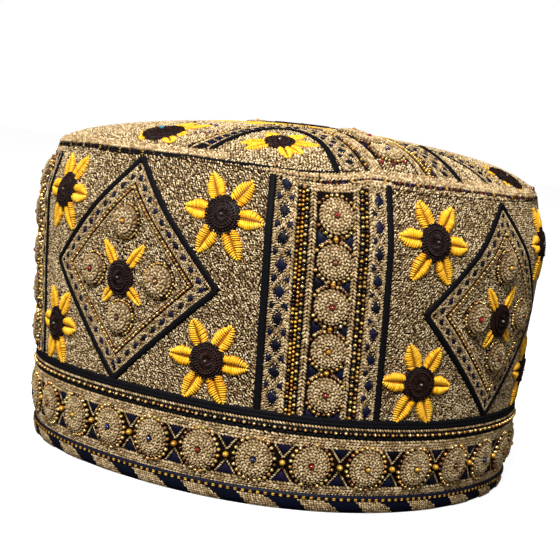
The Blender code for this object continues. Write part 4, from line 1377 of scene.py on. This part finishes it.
def multiplied(tree, first, second):
    """Product of two colours."""
    values = {"Fac": 1.0, "Color1": first, "Color2": second}
    return node(tree, "ShaderNodeMixRGB", values, blend_type="MULTIPLY").outputs["Color"]


def with_painted_shade(tree, colour, low):
    """A colour darkened by painted shade towards the foot of each stitch or bead."""
    crest = ramp(tree, attribute(tree, "crest"), ((0.0, low), (0.85, (1.0, 1.0, 1.0))))
    return multiplied(tree, colour, crest)


def thread(name, stops, roughness, low=(0.10, 0.06, 0.03), specular=0.15, fibre=0.5):
    """Thread whose colour varies from stitch to stitch, with fine fibres along it and painted shade at its
    foot.
    """
    material, tree, shader = new_material(name)
    place = node(tree, "ShaderNodeTexCoord").outputs["Object"]
    values = {"Vector": place, "Scale": 1100.0, "Detail": 3.0}
    noise = node(tree, "ShaderNodeTexNoise", values).outputs["Fac"]
    part = node(tree, "ShaderNodeMath", {0: noise, 1: 0.45}, operation="MULTIPLY").outputs[0]
    values = {0: attribute(tree, "tint"), 1: 0.55, 2: part}
    mix = node(tree, "ShaderNodeMath", values, operation="MULTIPLY_ADD").outputs[0]
    bump = node(tree, "ShaderNodeBump", {"Strength": fibre, "Distance": 0.0003, "Height": noise})
    feed(tree, shader.inputs, {"Base Color": with_painted_shade(tree, ramp(tree, mix, stops), low),
                               "Normal": bump.outputs["Normal"], "Roughness": roughness,
                               "Specular IOR Level": specular})
    return material


def bead(name, dark, light, roughness=0.18, metallic=0.0, coat=0.5, between=()):
    """Glossy seed bead in shades from dark to light, with other stops between, and painted shade at its
    foot.
    """
    material, tree, shader = new_material(name)
    colour = ramp(tree, attribute(tree, "tint"), ((0.0, dark), *between, (1.0, light)))
    feed(tree, shader.inputs, {"Base Color": with_painted_shade(tree, colour, (0.25, 0.2, 0.15)),
                               "Roughness": roughness, "Metallic": metallic, "Coat Weight": coat})
    return material


def lining(name, dark, middle, light):
    """Dense knotted cloth: small slanted humps, painted lighter in their middles, with painted shade in the
    gaps.
    """
    material, tree, shader = new_material(name)
    values = {"X": attribute(tree, "u"), "Y": attribute(tree, "v")}
    layout = node(tree, "ShaderNodeCombineXYZ", values).outputs["Vector"]
    values = {"Vector": layout, "Scale": 0.35, "Detail": 2.0}
    warp = node(tree, "ShaderNodeTexNoise", values).outputs["Color"]
    values = {"Fac": 0.5, "Color1": layout, "Color2": warp}
    mixed = node(tree, "ShaderNodeMixRGB", values, blend_type="LINEAR_LIGHT").outputs["Color"]
    values = {"Vector": mixed, "Rotation": (0.0, 0.0, math.radians(38.0)), "Scale": (0.72, 1.3, 1.0)}
    stretched = node(tree, "ShaderNodeMapping", values).outputs["Vector"]
    cells = node(tree, "ShaderNodeTexVoronoi", {"Vector": stretched, "Scale": 2.0}, feature="F1",
                 voronoi_dimensions="2D")
    distance = cells.outputs["Distance"]
    # Painted shade: lighter at each hump's middle, darker towards its edge.
    shade = ramp(tree, distance, ((0.05, light), (0.33, middle), (0.55, dark)))
    red = node(tree, "ShaderNodeSeparateColor", {"Color": cells.outputs["Color"]}).outputs["Red"]
    vary = ramp(tree, red, ((0.0, (0.25, 0.22, 0.20)), (0.5, (0.9, 0.9, 0.9)), (1.0, (1.0, 1.0, 1.0))))
    values = {"Strength": 1.0, "Distance": 0.0007, "Height": distance}
    bump = node(tree, "ShaderNodeBump", values, invert=True)
    feed(tree, shader.inputs, {"Base Color": multiplied(tree, shade, vary), "Normal": bump.outputs["Normal"],
                               "Roughness": 0.75, "Specular IOR Level": 0.12})
    return material


def shades(dark, light):
    """Stops of a plain thread's colour."""
    return (0.2, dark), (0.8, light)


TAN = ((0.15, (0.15, 0.085, 0.032)), (0.5, (0.45, 0.30, 0.135)), (0.85, (0.84, 0.66, 0.39)))
GRAIN = ((0.12, (0.045, 0.020, 0.006)), (0.45, (0.38, 0.243, 0.100)), (0.80, (1.0, 0.80, 0.48)))
YELLOW = ((0.1, (0.60, 0.22, 0.006)), (0.4, (0.88, 0.44, 0.012)), (0.85, (0.97, 0.60, 0.055)))
NAVY = ((0.2, (0.002, 0.002, 0.004)), (0.55, (0.003, 0.0045, 0.016)), (0.9, (0.009, 0.005, 0.022)))
MATERIALS = {
    "inside": lining("inside_cloth", (0.10, 0.075, 0.045), (0.25, 0.19, 0.12), (0.36, 0.28, 0.19)),
    # Near-black under-cloth: partly the cloth's own colour, partly painted shade in the gaps between
    # stitches.
    "shade": thread("dark_cloth_and_shade", shades((0.002, 0.0015, 0.0015), (0.007, 0.004, 0.003)), 0.9,
                    specular=0.03),
    "tan": thread("tan_thread", TAN, 0.6, (0.06, 0.035, 0.016)),
    "core": thread("coil_core", shades((0.07, 0.04, 0.016), (0.16, 0.10, 0.045)), 0.8, specular=0.05),
    "grain": thread("grain_thread", GRAIN, 0.65, (0.05, 0.03, 0.015), fibre=0.2),
    # Near-black cloth under the ground stitches and the seam: partly its own colour, partly painted shade in
    # the gaps.
    "cloth_and_gap_shade": thread("under_cloth_and_shade", shades((0.006, 0.003, 0.0015), (0.026, 0.014, 0.007)), 0.9, specular=0.03),
    "brown_thread": thread("brown_thread", shades((0.10, 0.035, 0.008), (0.30, 0.12, 0.02)), 0.5),
    "yellow": thread("yellow_silk", YELLOW, 0.45, (0.30, 0.10, 0.02)),
    "orange": thread("orange_silk", shades((0.16, 0.05, 0.005), (0.42, 0.15, 0.01)), 0.6),
    "seed": thread("seed_thread", shades((0.003, 0.0012, 0.001), (0.032, 0.010, 0.0065)), 0.45,
                   (0.08, 0.06, 0.06), 0.16),
    "navy": thread("navy_satin", NAVY, 0.55, specular=0.1),
    "black": thread("black_satin", shades((0.0015, 0.0015, 0.002), (0.006, 0.0055, 0.007)), 0.65,
                    specular=0.05),
    "gold_thread": thread("gold_thread", shades((0.45, 0.20, 0.02), (0.85, 0.50, 0.07)), 0.4),
    "red_thread": thread("red_thread", shades((0.14, 0.01, 0.01), (0.35, 0.04, 0.03)), 0.5),
    "purple_thread": thread("purple_thread", shades((0.04, 0.01, 0.06), (0.15, 0.04, 0.2)), 0.5),
    "gold": bead("gold_bead", (0.42, 0.19, 0.04), (0.50, 0.42, 0.08), 0.22, 0.6,
                 between=((0.4, (0.75, 0.42, 0.10)), (0.75, (0.85, 0.60, 0.24)))),
    "brown": bead("brown_bead", (0.04, 0.012, 0.005), (0.45, 0.22, 0.06), 0.2, 0.35,
                  between=((0.6, (0.22, 0.08, 0.025)),)),
    "mixed": bead("mixed_bead", (0.008, 0.008, 0.010), (0.80, 0.50, 0.10), 0.25, 0.4,
                  between=((0.42, (0.05, 0.01, 0.01)), (0.55, (0.40, 0.19, 0.03)))),
    "amber_mix": bead("amber_mix_bead", (0.30, 0.10, 0.01), (0.85, 0.50, 0.06), 0.3, 0.3,
                      between=((0.6, (0.70, 0.33, 0.03)),)),
    "amber_bead": bead("amber_bead", (0.55, 0.21, 0.02), (0.85, 0.45, 0.05), 0.14, 0.5),
    "red_bead": bead("red_bead", (0.10, 0.004, 0.003), (0.26, 0.010, 0.006), 0.08, coat=1.0),
    "blue_bead": bead("blue_bead", (0.003, 0.006, 0.035), (0.006, 0.02, 0.09), 0.08, coat=1.0),
    "purple_bead": bead("purple_bead", (0.02, 0.006, 0.03), (0.09, 0.03, 0.11), 0.1, coat=1.0),
    "turquoise_bead": bead("turquoise_bead", (0.02, 0.16, 0.25), (0.04, 0.25, 0.34), 0.2),
    "black_bead": bead("black_bead", (0.005, 0.005, 0.006), (0.02, 0.018, 0.012), 0.2),
    "seed_bead": bead("seed_bead", (0.10, 0.08, 0.06), (0.22, 0.18, 0.14), 0.15),
}

# Stage, light and camera, in metres
FLOOR_SIZE, FLOOR_DROP, FLOOR_GLOW = 12.0, 0.0002, 0.85
LIGHTS = (("key", (-0.27, -0.84, 0.93), 0.18, 27.0),
          ("fill", (0.75, -0.85, 0.40), 0.8, 2.5),
          ("side", (-1.0, -0.1, 0.4), 0.6, 4.0))
AIM = Vector((0, 0, 0.06))
SKY_TOP, SKY_FOOT = 0.16, 0.03


def make_stage():
    """Plain white floor that throws no light back on the cap."""
    bpy.ops.mesh.primitive_plane_add(size=FLOOR_SIZE, location=(0, 0, -FLOOR_DROP))
    floor = bpy.context.object
    floor.name = "floor"
    material, tree, shader = new_material("floor_white")
    feed(tree, shader.inputs, {"Base Color": (0.8, 0.8, 0.8, 1), "Roughness": 1.0, "Specular IOR Level": 0.0,
                               "Emission Color": (1, 1, 1, 1), "Emission Strength": FLOOR_GLOW})
    floor.data.materials.append(material)
    floor.visible_diffuse = False
    floor.visible_glossy = False


def make_world():
    """Soft light from above, behind a background that the camera sees as white."""
    world = bpy.data.worlds.new("studio")
    bpy.context.scene.world = world
    world.use_nodes = True
    tree = world.node_tree
    light = tree.nodes["Background"]
    coords = node(tree, "ShaderNodeTexCoord").outputs["Generated"]
    height = node(tree, "ShaderNodeSeparateXYZ", {"Vector": coords}).outputs["Z"]
    span = node(tree, "ShaderNodeMapRange", {"Value": height, "From Min": -1.0}).outputs["Result"]
    sky = ramp(tree, span, ((0.35, (SKY_FOOT,) * 3), (0.75, (SKY_TOP,) * 3)))
    feed(tree, light.inputs, {"Color": sky})
    white = node(tree, "ShaderNodeBackground", {"Color": (1, 1, 1, 1)})
    seen = node(tree, "ShaderNodeLightPath").outputs["Is Camera Ray"]
    values = {"Fac": seen, 1: light.outputs["Background"], 2: white.outputs["Background"]}
    choose = node(tree, "ShaderNodeMixShader", values)
    feed(tree, tree.nodes["World Output"].inputs, {"Surface": choose.outputs["Shader"]})


def make_lights():
    """Studio lamps, all aimed at the cap's middle."""
    for name, place, size, power in LIGHTS:
        lamp = bpy.data.lights.new(name, "AREA")
        lamp.size, lamp.energy = size, power
        item = bpy.data.objects.new(name, lamp)
        item.location = place
        item.rotation_euler = (AIM - item.location).to_track_quat("-Z", "Y").to_euler()
        bpy.context.scene.collection.objects.link(item)


def make_camera():
    """Camera at the photograph's angle, distance and focal length."""
    turn = math.radians(CAMERA_TURN)
    pitch, yaw, roll = (math.radians(a) for a in (CAMERA_PITCH, CAMERA_YAW, CAMERA_ROLL))
    place = np.array([-CAMERA_DISTANCE * math.sin(turn), -CAMERA_DISTANCE * math.cos(turn), CAMERA_HEIGHT])
    heading = yaw + turn
    ahead = np.array([math.sin(heading) * math.cos(pitch), math.cos(heading) * math.cos(pitch),
                      -math.sin(pitch)])
    level = np.array([math.cos(heading), -math.sin(heading), 0.0])
    up = np.cross(level, ahead)
    right = math.cos(roll) * level + math.sin(roll) * up
    top = -math.sin(roll) * level + math.cos(roll) * up
    data = bpy.data.cameras.new("camera")
    data.sensor_width = SENSOR
    data.lens = FOCAL_PIXELS * SENSOR / FRAME_PIXELS
    item = bpy.data.objects.new("camera", data)
    item.matrix_world = Matrix([*np.stack([right, top, -ahead, place * MM], -1).tolist(), (0, 0, 0, 1)])
    bpy.context.scene.collection.objects.link(item)
    bpy.context.scene.camera = item


make_wall_shell()
make_crown_shell()
make_wall_stitches()
make_crown_stitches()
make_rim()
make_hem()
for label, centre in (("front", 0), ("right", 90), ("back", 180), ("left", 270)):
    make_band(label, centre, ("red_bead", "brown", "red_bead", "amber_bead", "red_bead"))
for label, centre in (("front_right", 45), ("back_right", 135), ("back_left", 225), ("front_left", 315)):
    make_diamond(label, centre, ("amber_bead", "brown", "brown", "red_bead"))
    make_corner_flowers(label, centre)
make_seam()
for label, angle in (("front", CROWN_BAND_ANGLE), ("back", CROWN_BAND_ANGLE + 180)):
    make_crown_band(label, angle)
make_crown_flowers()
make_crown_lines()
make_crown_middle()
make_stage()
make_world()
make_lights()
make_camera()
bpy.context.scene.view_settings.view_transform = "Standard"
